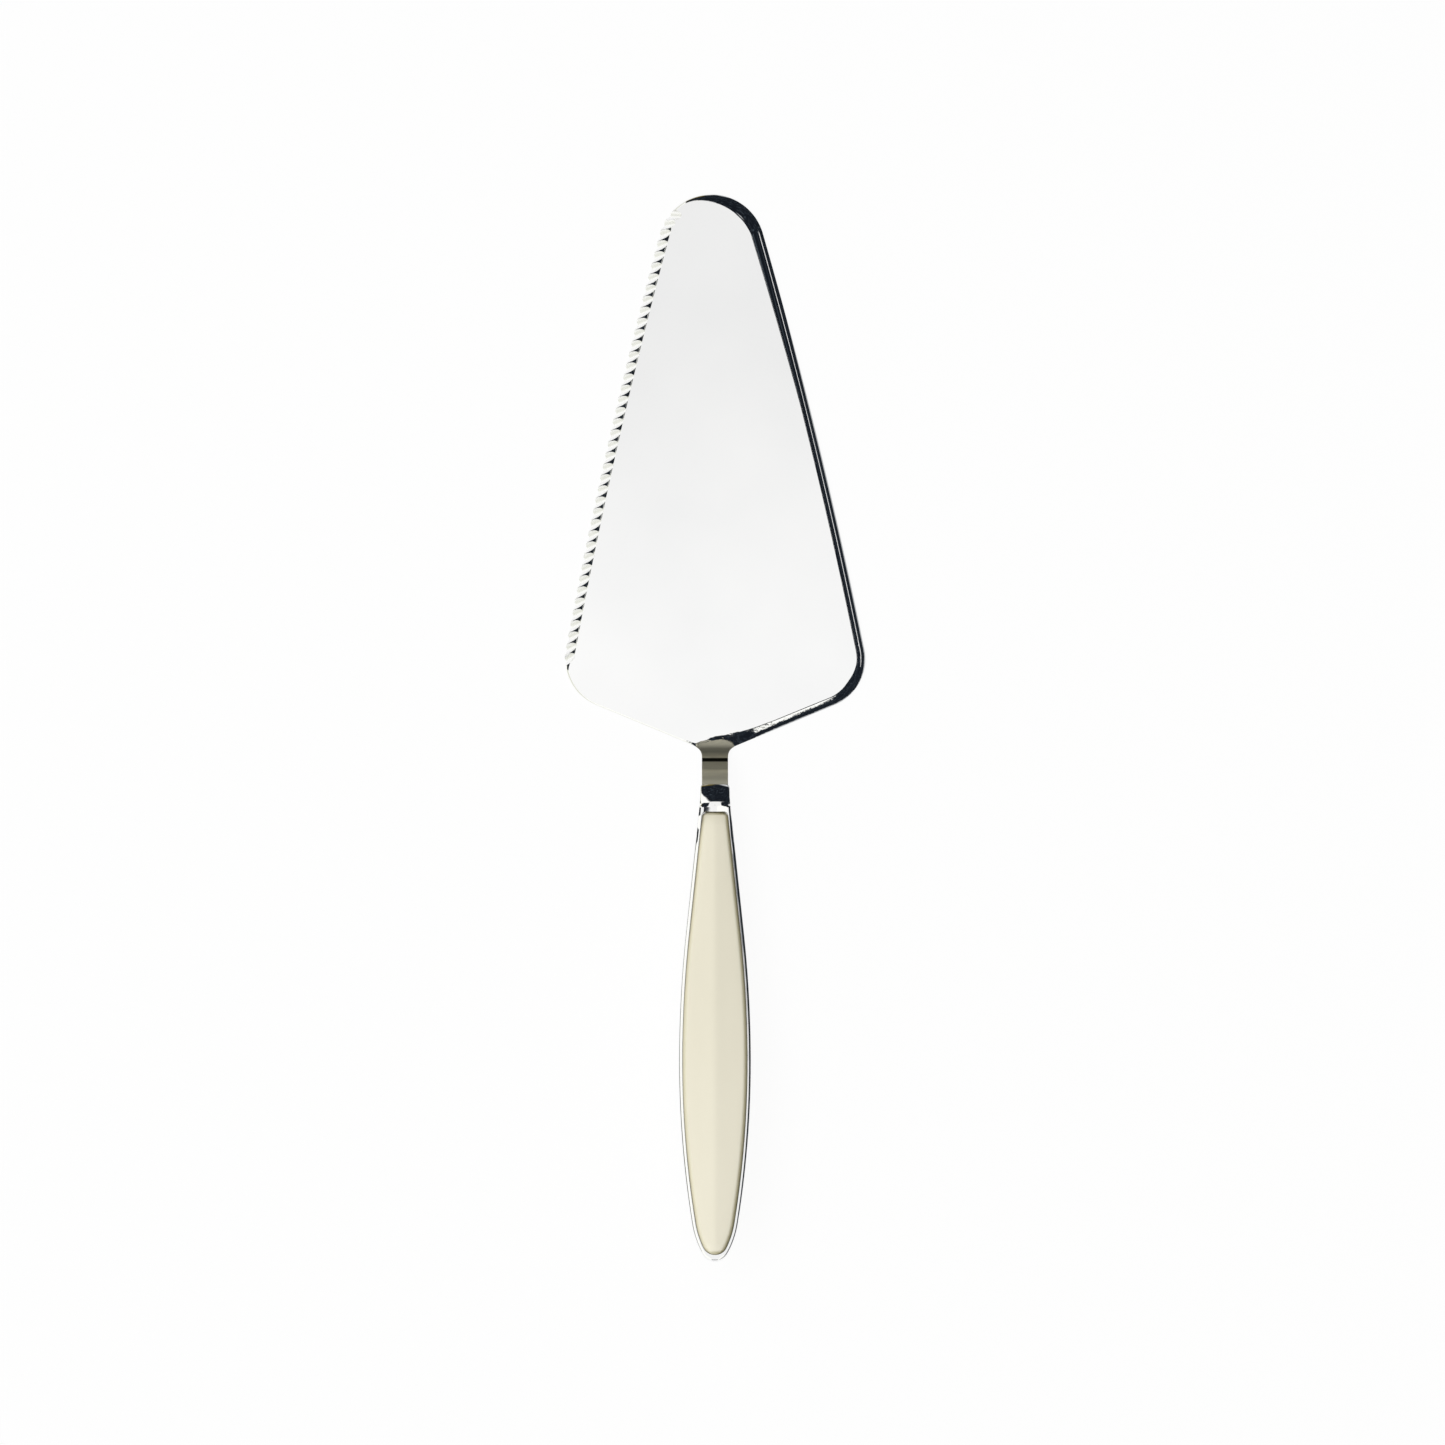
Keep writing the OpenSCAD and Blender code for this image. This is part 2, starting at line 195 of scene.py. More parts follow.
class Bench:
    """The modelling tools, used on one mesh at a time as by hand."""

    @staticmethod
    def clear() -> None:
        """Leaves edit mode and deselects every object."""
        if bpy.context.object and bpy.context.object.mode != "OBJECT":
            bpy.ops.object.mode_set(mode="OBJECT")
        bpy.ops.object.select_all(action="DESELECT")

    @staticmethod
    def pick(obj: bpy.types.Object, mode: str = "OBJECT") -> None:
        """Selects one object alone, makes it the active one and enters a mode.

        Args:
            obj: The object.
            mode: The mode's name.
        """
        Bench.clear()
        obj.select_set(True)
        bpy.context.view_layer.objects.active = obj
        bpy.ops.object.mode_set(mode=mode)

    @staticmethod
    def block(name: str, low: Sequence[float], high: Sequence[float]) -> bpy.types.Object:
        """Adds a block between two corners, as the start of a piece.

        Args:
            name: Name of the object.
            low: Lowest corner in millimetres.
            high: Highest corner in millimetres.

        Returns:
            The new object, with its size applied.
        """
        Bench.clear()
        middle = [(a + b) / 2 * MM for a, b in zip(low, high)]
        bpy.ops.mesh.primitive_cube_add(size=1, location=middle)
        obj = bpy.context.object
        obj.name = obj.data.name = name
        obj.scale = [(b - a) * MM for a, b in zip(low, high)]
        bpy.ops.object.transform_apply(location=True, rotation=True, scale=True)
        return obj

    @staticmethod
    def slice(place: Point, normal: Sequence[float], trim: bool = False) -> None:
        """Cuts what is selected along a plane.

        Args:
            place: A point of the plane, in millimetres.
            normal: The plane's normal, of length 1.
            trim: Whether the whole mesh is cut, loses what lies beyond the plane and is closed there.
        """
        options = {}
        if trim:
            bpy.ops.mesh.select_all(action="SELECT")
            options = {"use_fill": True, "clear_outer": True, "threshold": SAME_POINT}
        bpy.ops.mesh.bisect(plane_co=[c * MM for c in place], plane_no=normal, **options)

    @staticmethod
    def choose_faces(obj: bpy.types.Object, test: Callable[[bmesh.types.BMFace], bool]) -> None:
        """Selects the faces that pass a test.

        Args:
            obj: The object, which is in edit mode.
            test: Says whether a face is wanted.
        """
        bpy.ops.mesh.select_mode(type="FACE")
        bpy.ops.mesh.select_all(action="DESELECT")
        mesh = bmesh.from_edit_mesh(obj.data)
        for face in [f for f in mesh.faces if test(f)]:
            face.select_set(True)
        bmesh.update_edit_mesh(obj.data)

    @staticmethod
    def shape(obj: bpy.types.Object, move: Callable[[Vector], Vector]) -> None:
        """Moves every point of a mesh by a rule in millimetres.

        Args:
            obj: The object, in object mode.
            move: Gives a point's new place from its old one.
        """
        for vertex in obj.data.vertices:
            vertex.co = move(vertex.co / MM) * MM
        obj.data.update()

    @staticmethod
    def loft(name: str, rings: Sequence[Sequence[Point]]) -> bpy.types.Object:
        """Grows a closed form ring by ring: the cap is extruded, and its points go to the next section.

        Args:
            name: Name of the object.
            rings: Sections in order, each a list of points in millimetres, all of the same count.

        Returns:
            The new object, closed at both ends.
        """

        def key(vert: bmesh.types.BMVert) -> tuple[float, ...]:
            """Returns a point's place, rounded so that it can be found again."""
            return tuple(round(c, 8) for c in vert.co)

        Bench.clear()
        bpy.ops.mesh.primitive_circle_add(vertices=len(rings[0]), radius=1, fill_type="NGON")
        obj = bpy.context.object
        obj.name = obj.data.name = name
        bpy.ops.object.mode_set(mode="EDIT")
        bpy.ops.mesh.select_mode(type="FACE")
        bpy.ops.mesh.select_all(action="SELECT")
        keys = []
        for ring in rings:
            if keys:
                bpy.ops.mesh.extrude_region_move()
            mesh = bmesh.from_edit_mesh(obj.data)
            verts = list(next(f for f in mesh.faces if f.select).verts)
            if keys:
                seats = {key(vert): vert for vert in verts}
                verts = [seats[k] for k in keys]
            for vert, point in zip(verts, ring):
                vert.co = Vector(point) * MM
            keys = [key(vert) for vert in verts]
            bmesh.update_edit_mesh(obj.data)
        bpy.ops.mesh.select_all(action="SELECT")
        bpy.ops.mesh.normals_make_consistent(inside=False)
        bpy.ops.object.mode_set(mode="OBJECT")
        return obj

    @staticmethod
    def join(name: str, parts: Sequence[bpy.types.Object]) -> bpy.types.Object:
        """Joins objects into one.

        Args:
            name: Name of the joined object.
            parts: The objects.

        Returns:
            The first of the objects, which now holds them all.
        """
        Bench.clear()
        for part in parts:
            part.select_set(True)
        bpy.context.view_layer.objects.active = parts[0]
        bpy.ops.object.join()
        parts[0].name = parts[0].data.name = name
        return parts[0]

    @staticmethod
    def cut(obj: bpy.types.Object, cutter: bpy.types.Object) -> None:
        """Takes a cutter out of an object and removes the cutter. The cut takes the cutter's finish.

        Args:
            obj: The object that is cut.
            cutter: The closed form that is taken out.
        """
        Bench.pick(obj)
        modifier = obj.modifiers.new("cut", "BOOLEAN")
        modifier.object = cutter
        modifier.operation = "DIFFERENCE"
        modifier.solver = "EXACT"
        if cutter.data.materials:
            modifier.material_mode = "TRANSFER"
        bpy.ops.object.modifier_apply(modifier=modifier.name)
        bpy.data.objects.remove(cutter)

    @staticmethod
    def finish(obj: bpy.types.Object, place: Matrix, angle: float) -> None:
        """Puts a mesh in its place, cleans it and shades it smooth.

        Args:
            obj: The object.
            place: Matrix of its place.
            angle: Angle past which an edge stays sharp.
        """
        obj.data.transform(place)
        Bench.pick(obj, "EDIT")
        bpy.ops.mesh.select_all(action="SELECT")
        bpy.ops.mesh.remove_doubles(threshold=SAME_POINT)
        bpy.ops.mesh.normals_make_consistent(inside=False)
        Bench.pick(obj)
        bpy.ops.object.shade_smooth_by_angle(angle=math.radians(angle))


def settle(obj: bpy.types.Object, slot: Slot, replaced: str = "") -> None:
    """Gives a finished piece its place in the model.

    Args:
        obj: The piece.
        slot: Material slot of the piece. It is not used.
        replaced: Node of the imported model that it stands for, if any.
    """
    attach(obj, BODY)
    if replaced:
        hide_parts(replaced)


# Finishes


class Nodes:
    """Builds the node tree of a material or of the world."""

    def __init__(self, owner: bpy.types.ID, output: str) -> None:
        """Empties a new owner's tree, apart from its output.

        Args:
            owner: The material or world.
            output: Type of the output node.
        """
        owner.use_nodes = True
        self.owner = owner
        self.tree = owner.node_tree
        self.tree.nodes.clear()
        self.output = self.add(output)

    @classmethod
    def material(cls, name: str) -> Nodes:
        """Starts the tree of a new material."""
        return cls(bpy.data.materials.new(name), "OutputMaterial")

    def add(self, kind: str, *inputs: object, **values: object) -> bpy.types.Node:
        """Adds a node. What feeds an input is a socket or a plain value.

        Args:
            kind: The name of the node's type, without its common first part.
            inputs: What feeds the first inputs, in order.
            values: Properties, and what feeds inputs by name, with blanks as underscores.

        Returns:
            The node.
        """
        node = self.tree.nodes.new("ShaderNode" + kind)
        for key, value in values.items():
            name = key.replace("_", " ")
            if name in node.inputs:
                self.feed(node.inputs[name], value)
            else:
                setattr(node, key, value)
        for socket, value in zip(node.inputs, inputs):
            self.feed(socket, value)
        return node

    def feed(self, socket: Socket, value: object) -> None:
        """Links an input to a socket or gives it a value.

        Args:
            socket: The input.
            value: A socket or a plain value. A colour is three numbers.
        """
        if isinstance(value, Socket):
            self.tree.links.new(value, socket)
        else:
            socket.default_value = (*value, 1) if socket.type == "RGBA" else value

    def place(self, scale: Point = (1, 1, 1)) -> Socket:
        """Returns Object coordinates, stretched by a scale on each axis."""
        coordinates = self.add("TexCoord").outputs["Object"]
        return self.add("Mapping", Vector=coordinates, Scale=scale).outputs["Vector"]

    def noise(self, place: Socket, scale: float, detail: float = 3.0, roughness: float = 0.5) -> Socket:
        """Returns the value of a noise with a scale per metre, a number of octaves and their roughness."""
        node = self.add("TexNoise", Vector=place, Scale=scale, Detail=detail, Roughness=roughness)
        return node.outputs["Fac"]

    def ramp(self, value: Socket, stops: Sequence[tuple[float, Point]]) -> Socket:
        """Adds a colour ramp.

        Args:
            value: What it reads.
            stops: Position and colour of each stop.

        Returns:
            The ramp's colour.
        """
        node = self.add("ValToRGB", value)
        elements = node.color_ramp.elements
        while len(elements) < len(stops):
            elements.new(0.5)
        for element, (position, color) in zip(elements, stops):
            element.position = position
            element.color = (*color, 1)
        return node.outputs["Color"]

    def shade(self, value: Socket, dark: Point, light: Point) -> Socket:
        """Maps the middle stretch of a noise to the way from a dark colour to a light one."""
        return self.ramp(value, [(NOISE_LOW, dark), (NOISE_HIGH, light)])

    def spread(
        self, value: Socket, low: float, high: float, start: float = NOISE_LOW, end: float = NOISE_HIGH
    ) -> Socket:
        """Maps the way from start to end to the way from low to high."""
        node = self.add("MapRange", value, From_Min=start, From_Max=end, To_Min=low, To_Max=high)
        return node.outputs["Result"]

    def step(self, value: Socket, edge: float, soft: float) -> Socket:
        """Adds a soft change from 0 to 1.

        Args:
            value: What it reads.
            edge: The middle of the change.
            soft: Its width. With a negative one the change runs from 1 to 0.

        Returns:
            The share.
        """
        low, high = edge - soft / 2, edge + soft / 2
        node = self.add("MapRange", value, interpolation_type="SMOOTHSTEP", From_Min=low, From_Max=high)
        return node.outputs["Result"]

    def window(self, value: Socket, low: float, high: float, soft: float) -> Socket:
        """Returns 1 between two edges and 0 outside them, with soft changes."""
        past = self.step(value, high, soft)
        return self.both(self.step(value, low, soft), self.math("SUBTRACT", 1.0, past))

    def math(self, operation: str, *values: object) -> Socket:
        """Adds a sum on sockets or numbers and returns its result."""
        return self.add("Math", *values, operation=operation).outputs[0]

    def both(self, first: object, second: object) -> Socket:
        """Returns the product of two shares."""
        return self.math("MULTIPLY", first, second)

    def either(self, first: object, second: object) -> Socket:
        """Returns the larger of two shares."""
        return self.math("MAXIMUM", first, second)

    def mix(self, share: object, first: object, second: object, blend: str = "MIX") -> Socket:
        """Mixes two colours, sockets or three numbers each, by the share of the second."""
        node = self.add("Mix", data_type="RGBA", blend_type=blend, Factor=share, A=first, B=second)
        return node.outputs["Result"]

    def bevel(self, radius: float) -> Socket:
        """Returns the normal with edges softened by a radius in millimetres."""
        return self.add("Bevel", samples=4, Radius=radius * MM).outputs["Normal"]

    def bump(self, height: Socket, strength: object, depth: float, **normal: Socket) -> Socket:
        """Returns the normal of a relief with a strength and a depth in millimetres, on another if given."""
        node = self.add("Bump", Height=height, Strength=strength, Distance=depth * MM, **normal)
        return node.outputs["Normal"]

    def end(self, kind: str, *inputs: object, **values: object) -> bpy.types.ID:
        """Ends the tree with a shader, given as a node is, and returns the tree's owner."""
        self.tree.links.new(self.add(kind, *inputs, **values).outputs[0], self.output.inputs["Surface"])
        return self.owner


@dataclass(frozen=True)
class PolishedSteel:
    """Steel buffed to a mirror: faint clouds, fine hairlines and softened edges.

    The depths are those of the hairlines, of the wave that buffing leaves and of worn streaks. Painted light
    scales the colour from one share to another, and the streaks fade, between two places along Y.
    """

    name: str
    bright: Point = (0.9, 0.9, 0.895)
    dim: Point = (0.86, 0.862, 0.86)
    gloss: Plan = (0.025, 0.06)
    hairline: float = 0.02
    wave: float = 0.0
    streaks: float = 0.0
    edge: float = 0.1
    painted_light_shares: Plan = (1.0, 1.0)
    painted_light_run: Plan = (15, 85)
    streak_run: Plan = (12, 28)
    depths: Point = (0.02, 0.2, 0.28)
    hair_scale: float = 2600
    hair_stretch: Point = (1, 0.05, 1)
    cloud_scale: float = 22
    cloud_range: Plan = (0.35, 0.65)
    wave_scale: float = 140
    streak_scale: float = 700
    streak_stretch: Point = (0.35, 1, 1)

    def make(self) -> bpy.types.Material:
        """Builds the material."""
        nodes = Nodes.material(self.name)
        plain = nodes.place()
        along = nodes.add("SeparateXYZ", plain).outputs["Y"]
        hairs = nodes.noise(nodes.place(self.hair_stretch), self.hair_scale, 2)
        tones = zip(self.cloud_range, (self.dim, self.bright))
        clouds = nodes.ramp(nodes.noise(plain, self.cloud_scale), list(tones))
        # Painted light: the colour is scaled from one share to another along Y.
        painted_light_shares = nodes.spread(along, *self.painted_light_shares, *(y * MM for y in self.painted_light_run))
        color = nodes.add("VectorMath", clouds, operation="SCALE", Scale=painted_light_shares).outputs[0]
        hair_depth, wave_depth, streak_depth = self.depths
        normal = nodes.bump(hairs, self.hairline, hair_depth, Normal=nodes.bevel(self.edge))
        if self.wave:
            waves = nodes.noise(plain, self.wave_scale, 1)
            normal = nodes.bump(waves, self.wave, wave_depth, Normal=normal)
        if self.streaks:
            worn = nodes.spread(along, self.streaks, 0, *(y * MM for y in self.streak_run))
            strands = nodes.noise(nodes.place(self.streak_stretch), self.streak_scale, 3, 0.6)
            normal = nodes.bump(strands, worn, streak_depth, Normal=normal)
        rough = nodes.spread(hairs, *self.gloss)
        return nodes.end("BsdfPrincipled", Metallic=1.0, Base_Color=color, Roughness=rough, Normal=normal)


@dataclass(frozen=True)
class GroundSteel:
    """Steel of the ground flutes: fine wheel marks across each flute."""

    name: str
    bright: Point = (0.97, 0.97, 0.97)
    dim: Point = (0.91, 0.91, 0.915)
    gloss: Plan = (0.22, 0.32)
    mark_scale: float = 3000
    mark_stretch: Point = (1, 0.2, 1)

    def make(self) -> bpy.types.Material:
        """Builds the material."""
        nodes = Nodes.material(self.name)
        marks = nodes.noise(nodes.place(self.mark_stretch), self.mark_scale, 2)
        color, rough = nodes.shade(marks, self.dim, self.bright), nodes.spread(marks, *self.gloss)
        return nodes.end("BsdfPrincipled", Metallic=1.0, Base_Color=color, Roughness=rough)


@dataclass(frozen=True)
class DullSteel:
    """Steel of the neck, left dull by the forming, with bands of painted reflection across the bends.

    The painted reflection bands are places along Y and tones. A tone of 0 is the painted dark, near black,
    one of 1 the plain colour, and one above 1 a painted bright reflection.
    """

    name: str
    painted_reflection_bands: Table
    plain: Point = (0.73, 0.7, 0.57)
    painted_dark: Point = (0.0, 0.002, 0.0)
    gloss: Plan = (0.5, 0.56)
    grain_dim: float = 0.93
    grain_scale: float = 2600
    grain_stretch: Point = (0.15, 1, 1)
    relief: Plan = (0.03, 0.02)
    edge: float = 0.15

    def make(self) -> bpy.types.Material:
        """Builds the material."""
        nodes = Nodes.material(self.name)
        grain = nodes.noise(nodes.place(self.grain_stretch), self.grain_scale)
        low, high = self.painted_reflection_bands[0][0] * MM, self.painted_reflection_bands[-1][0] * MM
        along = nodes.spread(nodes.add("SeparateXYZ", nodes.place()).outputs["Y"], 0, 1, low, high)
        # Painted reflections: near black for the dark line across the bend, above the plain colour for
        # bright bands.
        tones = [
            ((y * MM - low) / (high - low), tuple(t + (p - t) * tone for p, t in zip(self.plain, self.painted_dark)))
            for y, tone in self.painted_reflection_bands
        ]
        grained = nodes.shade(grain, (self.grain_dim,) * 3, (1.0,) * 3)
        return nodes.end(
            "BsdfPrincipled",
            Metallic=1.0,
            Base_Color=nodes.mix(1.0, nodes.ramp(along, tones), grained, "MULTIPLY"),
            Roughness=nodes.spread(grain, *self.gloss),
            Normal=nodes.bump(grain, *self.relief, Normal=nodes.bevel(self.edge)),
        )


@dataclass(frozen=True)
class CreamPlastic:
    """Moulded plastic, cream and a little yellowed, with a soft gloss. Its edge carries an olive painted
    shade.
    """

    name: str
    light: Point = (0.85, 0.805, 0.665)
    dark: Point = (0.81, 0.765, 0.625)
    painted_shade: Point = (0.52, 0.5, 0.35)
    gloss: Plan = (0.28, 0.4)
    relief: Plan = (0.05, 0.03)
    cloud_scale: float = 60
    cloud_stretch: Point = (1, 0.25, 1)
    fine_scale: float = 2500

    def make(self) -> bpy.types.Material:
        """Builds the material."""
        nodes = Nodes.material(self.name)
        clouds = nodes.noise(nodes.place(self.cloud_stretch), self.cloud_scale, 4)
        cream = nodes.shade(clouds, self.dark, self.light)
        fine = nodes.noise(nodes.place(), self.fine_scale, 2)
        # The olive edge is painted shade, multiplied into the cream by the share that each inlay writes.
        painted_shade_share = nodes.add("Attribute", attribute_name=PAINTED_SHADE_SHARE).outputs["Fac"]
        return nodes.end(
            "BsdfPrincipled",
            Metallic=0.0,
            IOR=1.5,
            Base_Color=nodes.mix(painted_shade_share, cream, self.painted_shade, "MULTIPLY"),
            Roughness=nodes.spread(fine, *self.gloss),
            Normal=nodes.bump(fine, *self.relief),
        )


@dataclass(frozen=True)
class StudioFloor:
    """Pale studio floor: white to the camera, with the object's soft shadow."""

    name: str = "studio_floor"
    pale: Plan = (0.9, 0.92)
    shade_share: float = 0.07
    grain_scale: float = 300

    def make(self) -> bpy.types.Material:
        """Builds the material."""
        nodes = Nodes.material(self.name)
        rays = nodes.add("LightPath").outputs
        seen = nodes.either(rays["Is Camera Ray"], rays["Is Glossy Ray"])
        grain = nodes.noise(nodes.place(), self.grain_scale, 2)
        color = nodes.shade(grain, *((tone,) * 3 for tone in self.pale))
        matte = nodes.add("BsdfDiffuse", Color=color).outputs[0]
        glow = nodes.add("Emission", Strength=1.0).outputs[0]
        return nodes.end("MixShader", nodes.both(seen, 1 - self.shade_share), matte, glow)


# Blade


@dataclass
class Outline:
    """Plan of the blade. The neck's root is at y = 0 and the tip points along +Y."""

    length: float = 130.1
    width: float = 70.6
    tip_r: float = 12.65
    tip_shift: float = 0.85
    corner_r: float = 11.7
    side_r: float = 1250.0
    rear_angle: float = 22.5
    neck_w: float = 6.1
    inside: float = 0.08
    spare_turn: float = 1e-3
    arcs: list[Arc] = field(init=False)

    def __post_init__(self) -> None:
        """Works out the arcs, counterclockwise from the right rear corner."""
        x = self.width / 2 - self.corner_r
        y = (x - self.neck_w / 2) * tan(self.rear_angle) + self.corner_r / cos(self.rear_angle)
        right, left, tip = (x, y), (-x, y), (-self.tip_shift, self.length - self.tip_r)
        to_corner, to_tip = self.side_r - self.corner_r, self.side_r - self.tip_r
        right_side = cross_point(right, to_corner, tip, to_tip)
        left_side = cross_point(tip, to_tip, left, to_corner)
        right_turns = [heading(right_side, end) for end in (right, tip)]
        turns = [
            self.rear_angle - 90,
            *(angle - 360 if angle > 180 else angle for angle in right_turns),
            heading(left_side, tip),
            heading(left_side, left),
            270 - self.rear_angle,
        ]
        circles = (
            (right, self.corner_r, 18),
            (right_side, self.side_r, 24),
            (tip, self.tip_r, 48),
            (left_side, self.side_r, 24),
            (left, self.corner_r, 18),
        )
        self.arcs = [
            Arc(center, radius, low, high, steps)
            for (center, radius, steps), low, high in zip(circles, turns, turns[1:])
        ]

    def points(self) -> list[Plan]:
        """Returns the outline's points, counterclockwise from the neck's root."""
        root = self.inside / cos(self.rear_angle)
        points = [(self.neck_w / 2, root)]
        for number, arc in enumerate(self.arcs):
            points += arc.points(self.inside)[min(number, 1) :]
        return points + [(-self.neck_w / 2, root)]

    def nearest(self, point: Plan) -> tuple[float, float]:
        """Finds the stretch of the outline that a point lies closest to.

        Args:
            point: A point inside the outline.

        Returns:
            The point's depth inside the outline and the outward angle there.
        """
        root = self.inside / cos(self.rear_angle)
        found = [(point[1] - root, 270.0)]
        for arc in self.arcs:
            angle = heading(arc.center, point)
            if angle > 270:
                angle -= 360
            if arc.low - self.spare_turn <= angle <= arc.high + self.spare_turn:
                found.append((arc.radius - self.inside - math.dist(arc.center, point), angle))
        for side, angle in ((1, self.rear_angle - 90), (-1, 270 - self.rear_angle)):
            away = (side * self.neck_w / 2 - point[0]) * cos(angle) - point[1] * sin(angle)
            found.append((away - self.inside, angle))
        return min(found)

    def seat(self, distance: float) -> tuple[Plan, float]:
        """Returns a place on the serrated side.

        Args:
            distance: Way along the outline past the start of the long side. It is negative on the tip.

        Returns:
            The point and the outward angle there.
        """
        tip, side, corner = self.arcs[2:]
        run = math.radians(side.high - side.low) * side.radius
        if distance < 0:
            arc, start = tip, side.low
        elif distance < run:
            arc, start = side, side.low
        else:
            arc, start, distance = corner, side.high, distance - run
        angle = start + math.degrees(distance / arc.radius)
        return on_circle(arc.center, arc.radius, angle), angle


@dataclass
class Serration:
    """Flutes ground over the left edge by a round wheel rim that leans outwards and runs in askew."""

    pitch: float = 2.69
    count: int = 41
    lead: float = 5.4
    wheel_r: float = 1.2
    wheel_w: float = 11.0
    wheel_steps: int = 56
    reach: float = 2.36
    bite: float = 0.32
    skew: float = 36.0

    def cutters(self, outline: Outline, sheet: float, first: int) -> bpy.types.Object:
        """Makes every second cutter as one object. Neighbours overlap, so they are cut in two turns.

        Args:
            outline: Plan of the blade.
            sheet: Thickness of the blade.
            first: Number of the first flute, 0 or 1.

        Returns:
            The joined cutters.
        """
        lean = math.degrees(math.atan(sheet / (self.reach - self.bite) * cos(self.skew)))
        finish = GroundSteel("ground_flutes").make()
        parts = []
        for number in range(first, self.count, 2):
            (x, y), angle = outline.seat(number * self.pitch - self.lead)
            Bench.clear()
            bpy.ops.mesh.primitive_cylinder_add(
                vertices=self.wheel_steps, radius=self.wheel_r * MM, depth=self.wheel_w * MM
            )
            cutter = bpy.context.object
            seat = moved(x, y, 0) @ turned(angle, "Z") @ moved(-self.bite, 0, 0)
            wheel = seat @ turned(self.skew, "Z") @ turned(lean, "Y") @ moved(0, 0, self.wheel_r)
            cutter.data.transform(wheel @ turned(90, "Y"))
            cutter.data.materials.append(finish)
            parts.append(cutter)
        return Bench.join("cutters", parts)


@dataclass
class Blade:
    """Polished blade: a long triangle with a rolled margin all round and a serrated left edge.

    The margin is a row of widths and slopes from the edge inwards. Its width is a share of their sum: widths
    gives it by the outline's outward angle, and side_more adds to it down the right side from the tip. Round
    the neck's root, root_w gives it in millimetres by the place across. There a face under small_area, in
    square metres, belongs to the margin.
    """

    middle_y: float
    outline: Outline = field(default_factory=Outline)
    serration: Serration = field(default_factory=Serration)
    sheet: float = 1.8
    margin: Table = (
        (0.12, 42), (0.14, 38), (0.16, 34), (0.18, 30.5), (0.16, 27), (0.14, 24), (0.12, 21.5),
        (0.2, 19.5), (0.28, 18), (0.32, 16.5), (0.08, 12), (0.12, 36),
    )
    hold: float = 0.25
    widths: Table = (
        (-68, 1.0), (-60, 1.05), (-35, 1.2), (-5, 1.0), (11, 1.0), (16, 1.35), (30, 1.42), (50, 1.4),
        (70, 1.2), (86, 0.95), (97, 0.7), (108, 0.42), (118, 0.25), (138, 0.25), (152, 1.0), (158, 1.16),
        (173, 1.16), (186, 0.6), (194, 0.25), (248, 0.2),
    )
    side_turns: Plan = (11, 16.01)
    side_run: float = 36.0
    side_more: float = 0.35
    root_w: Table = (
        (-7, 0.4), (-4.4, 0.6), (-3.1, 1.8), (0, 2.85), (3, 3.2), (6, 2.7), (9, 2.3), (14, 2.1), (26, 2.05),
    )
    root_left: Plan = (-6, -3.2)
    root_right: Plan = (5.5, 9)
    root_deepens: Plan = (-3, 3)
    root_drop: float = 1.3
    rear_reach: float = 12.0
    rear_facing: float = 0.3
    rear_turn: float = 210.0
    drop_spare: float = 0.15
    root_spare: float = 0.1
    top_spare: float = 1e-4
    small_area: float = 1e-4
    sharp: float = 24.0
    rear_cuts: tuple[float, ...] = (
        -12, -8, -6.6, -5.7, -5, -4.4, -3.9, -3.4, -2.4, -1.2, 0, 1.2, 2.4, 3.6, 5, 6.5, 8, 9.5, 11, 12.5,
        14, 18, 22,
    )

    def margin_w(self) -> float:
        """Returns the width of the rolled margin."""
        return sum(width for width, _ in self.margin)

    def margin_drop(self) -> float:
        """Returns the height that the margin drops."""
        return sum(width * tan(slope) for width, slope in self.margin)

    def slab(self) -> bpy.types.Object:
        """Trims a block to the outline, as high as the margin's outer edge."""
        points = self.outline.points()
        half, spare = self.outline.width / 2, 2
        low = (-half - spare, -spare, 0)
        high = (half + spare, self.outline.length + spare, self.sheet - self.margin_drop())
        obj = Bench.block("polished_blade", low, high)
        Bench.pick(obj, "EDIT")
        for start, end in zip(points, points[1:] + points[:1]):
            out = Vector((end[1] - start[1], start[0] - end[0], 0)).normalized()
            Bench.slice((*start, 0), out, trim=True)
        return obj

    def roll(self, obj: bpy.types.Object) -> None:
        """Insets the top face step by step, each step a little flatter, and ends with a flat hold.

        Args:
            obj: The trimmed slab, in edit mode.
        """
        top = (self.sheet - self.margin_drop()) * MM
        Bench.choose_faces(
            obj, lambda f: f.normal.z > FACING and abs(f.calc_center_median().z - top) < LEVEL
        )
        for width, slope in (*self.margin, (self.hold, 0)):
            bpy.ops.mesh.inset(thickness=width * MM, depth=width * tan(slope) * MM, use_even_offset=True)
        high = self.sheet * MM - LEVEL
        for x in self.rear_cuts:
            Bench.choose_faces(
                obj,
                lambda f: f.calc_center_median().y < self.rear_reach * MM
                and f.normal.z > self.rear_facing
                and (f.calc_center_median().z < high or f.calc_area() < self.small_area),
            )
            Bench.slice((x, 0, 0), (1, 0, 0))
        bpy.ops.object.mode_set(mode="OBJECT")

    def share(self, angle: float, point: Vector) -> float:
        """Returns the margin's width at a place as a share of its plain width.

        Args:
            angle: Outward angle of the outline.
            point: The place.

        Returns:
            The share, which is largest round the right of the tip and least on the left.
        """
        if self.side_turns[0] < angle < self.side_turns[1] and point.x > 0:
            down = self.outline.length - self.outline.tip_r - point.y
            return 1.0 + self.side_more * max(0.0, 1 - down / self.side_run)
        return along_table(self.widths, angle)

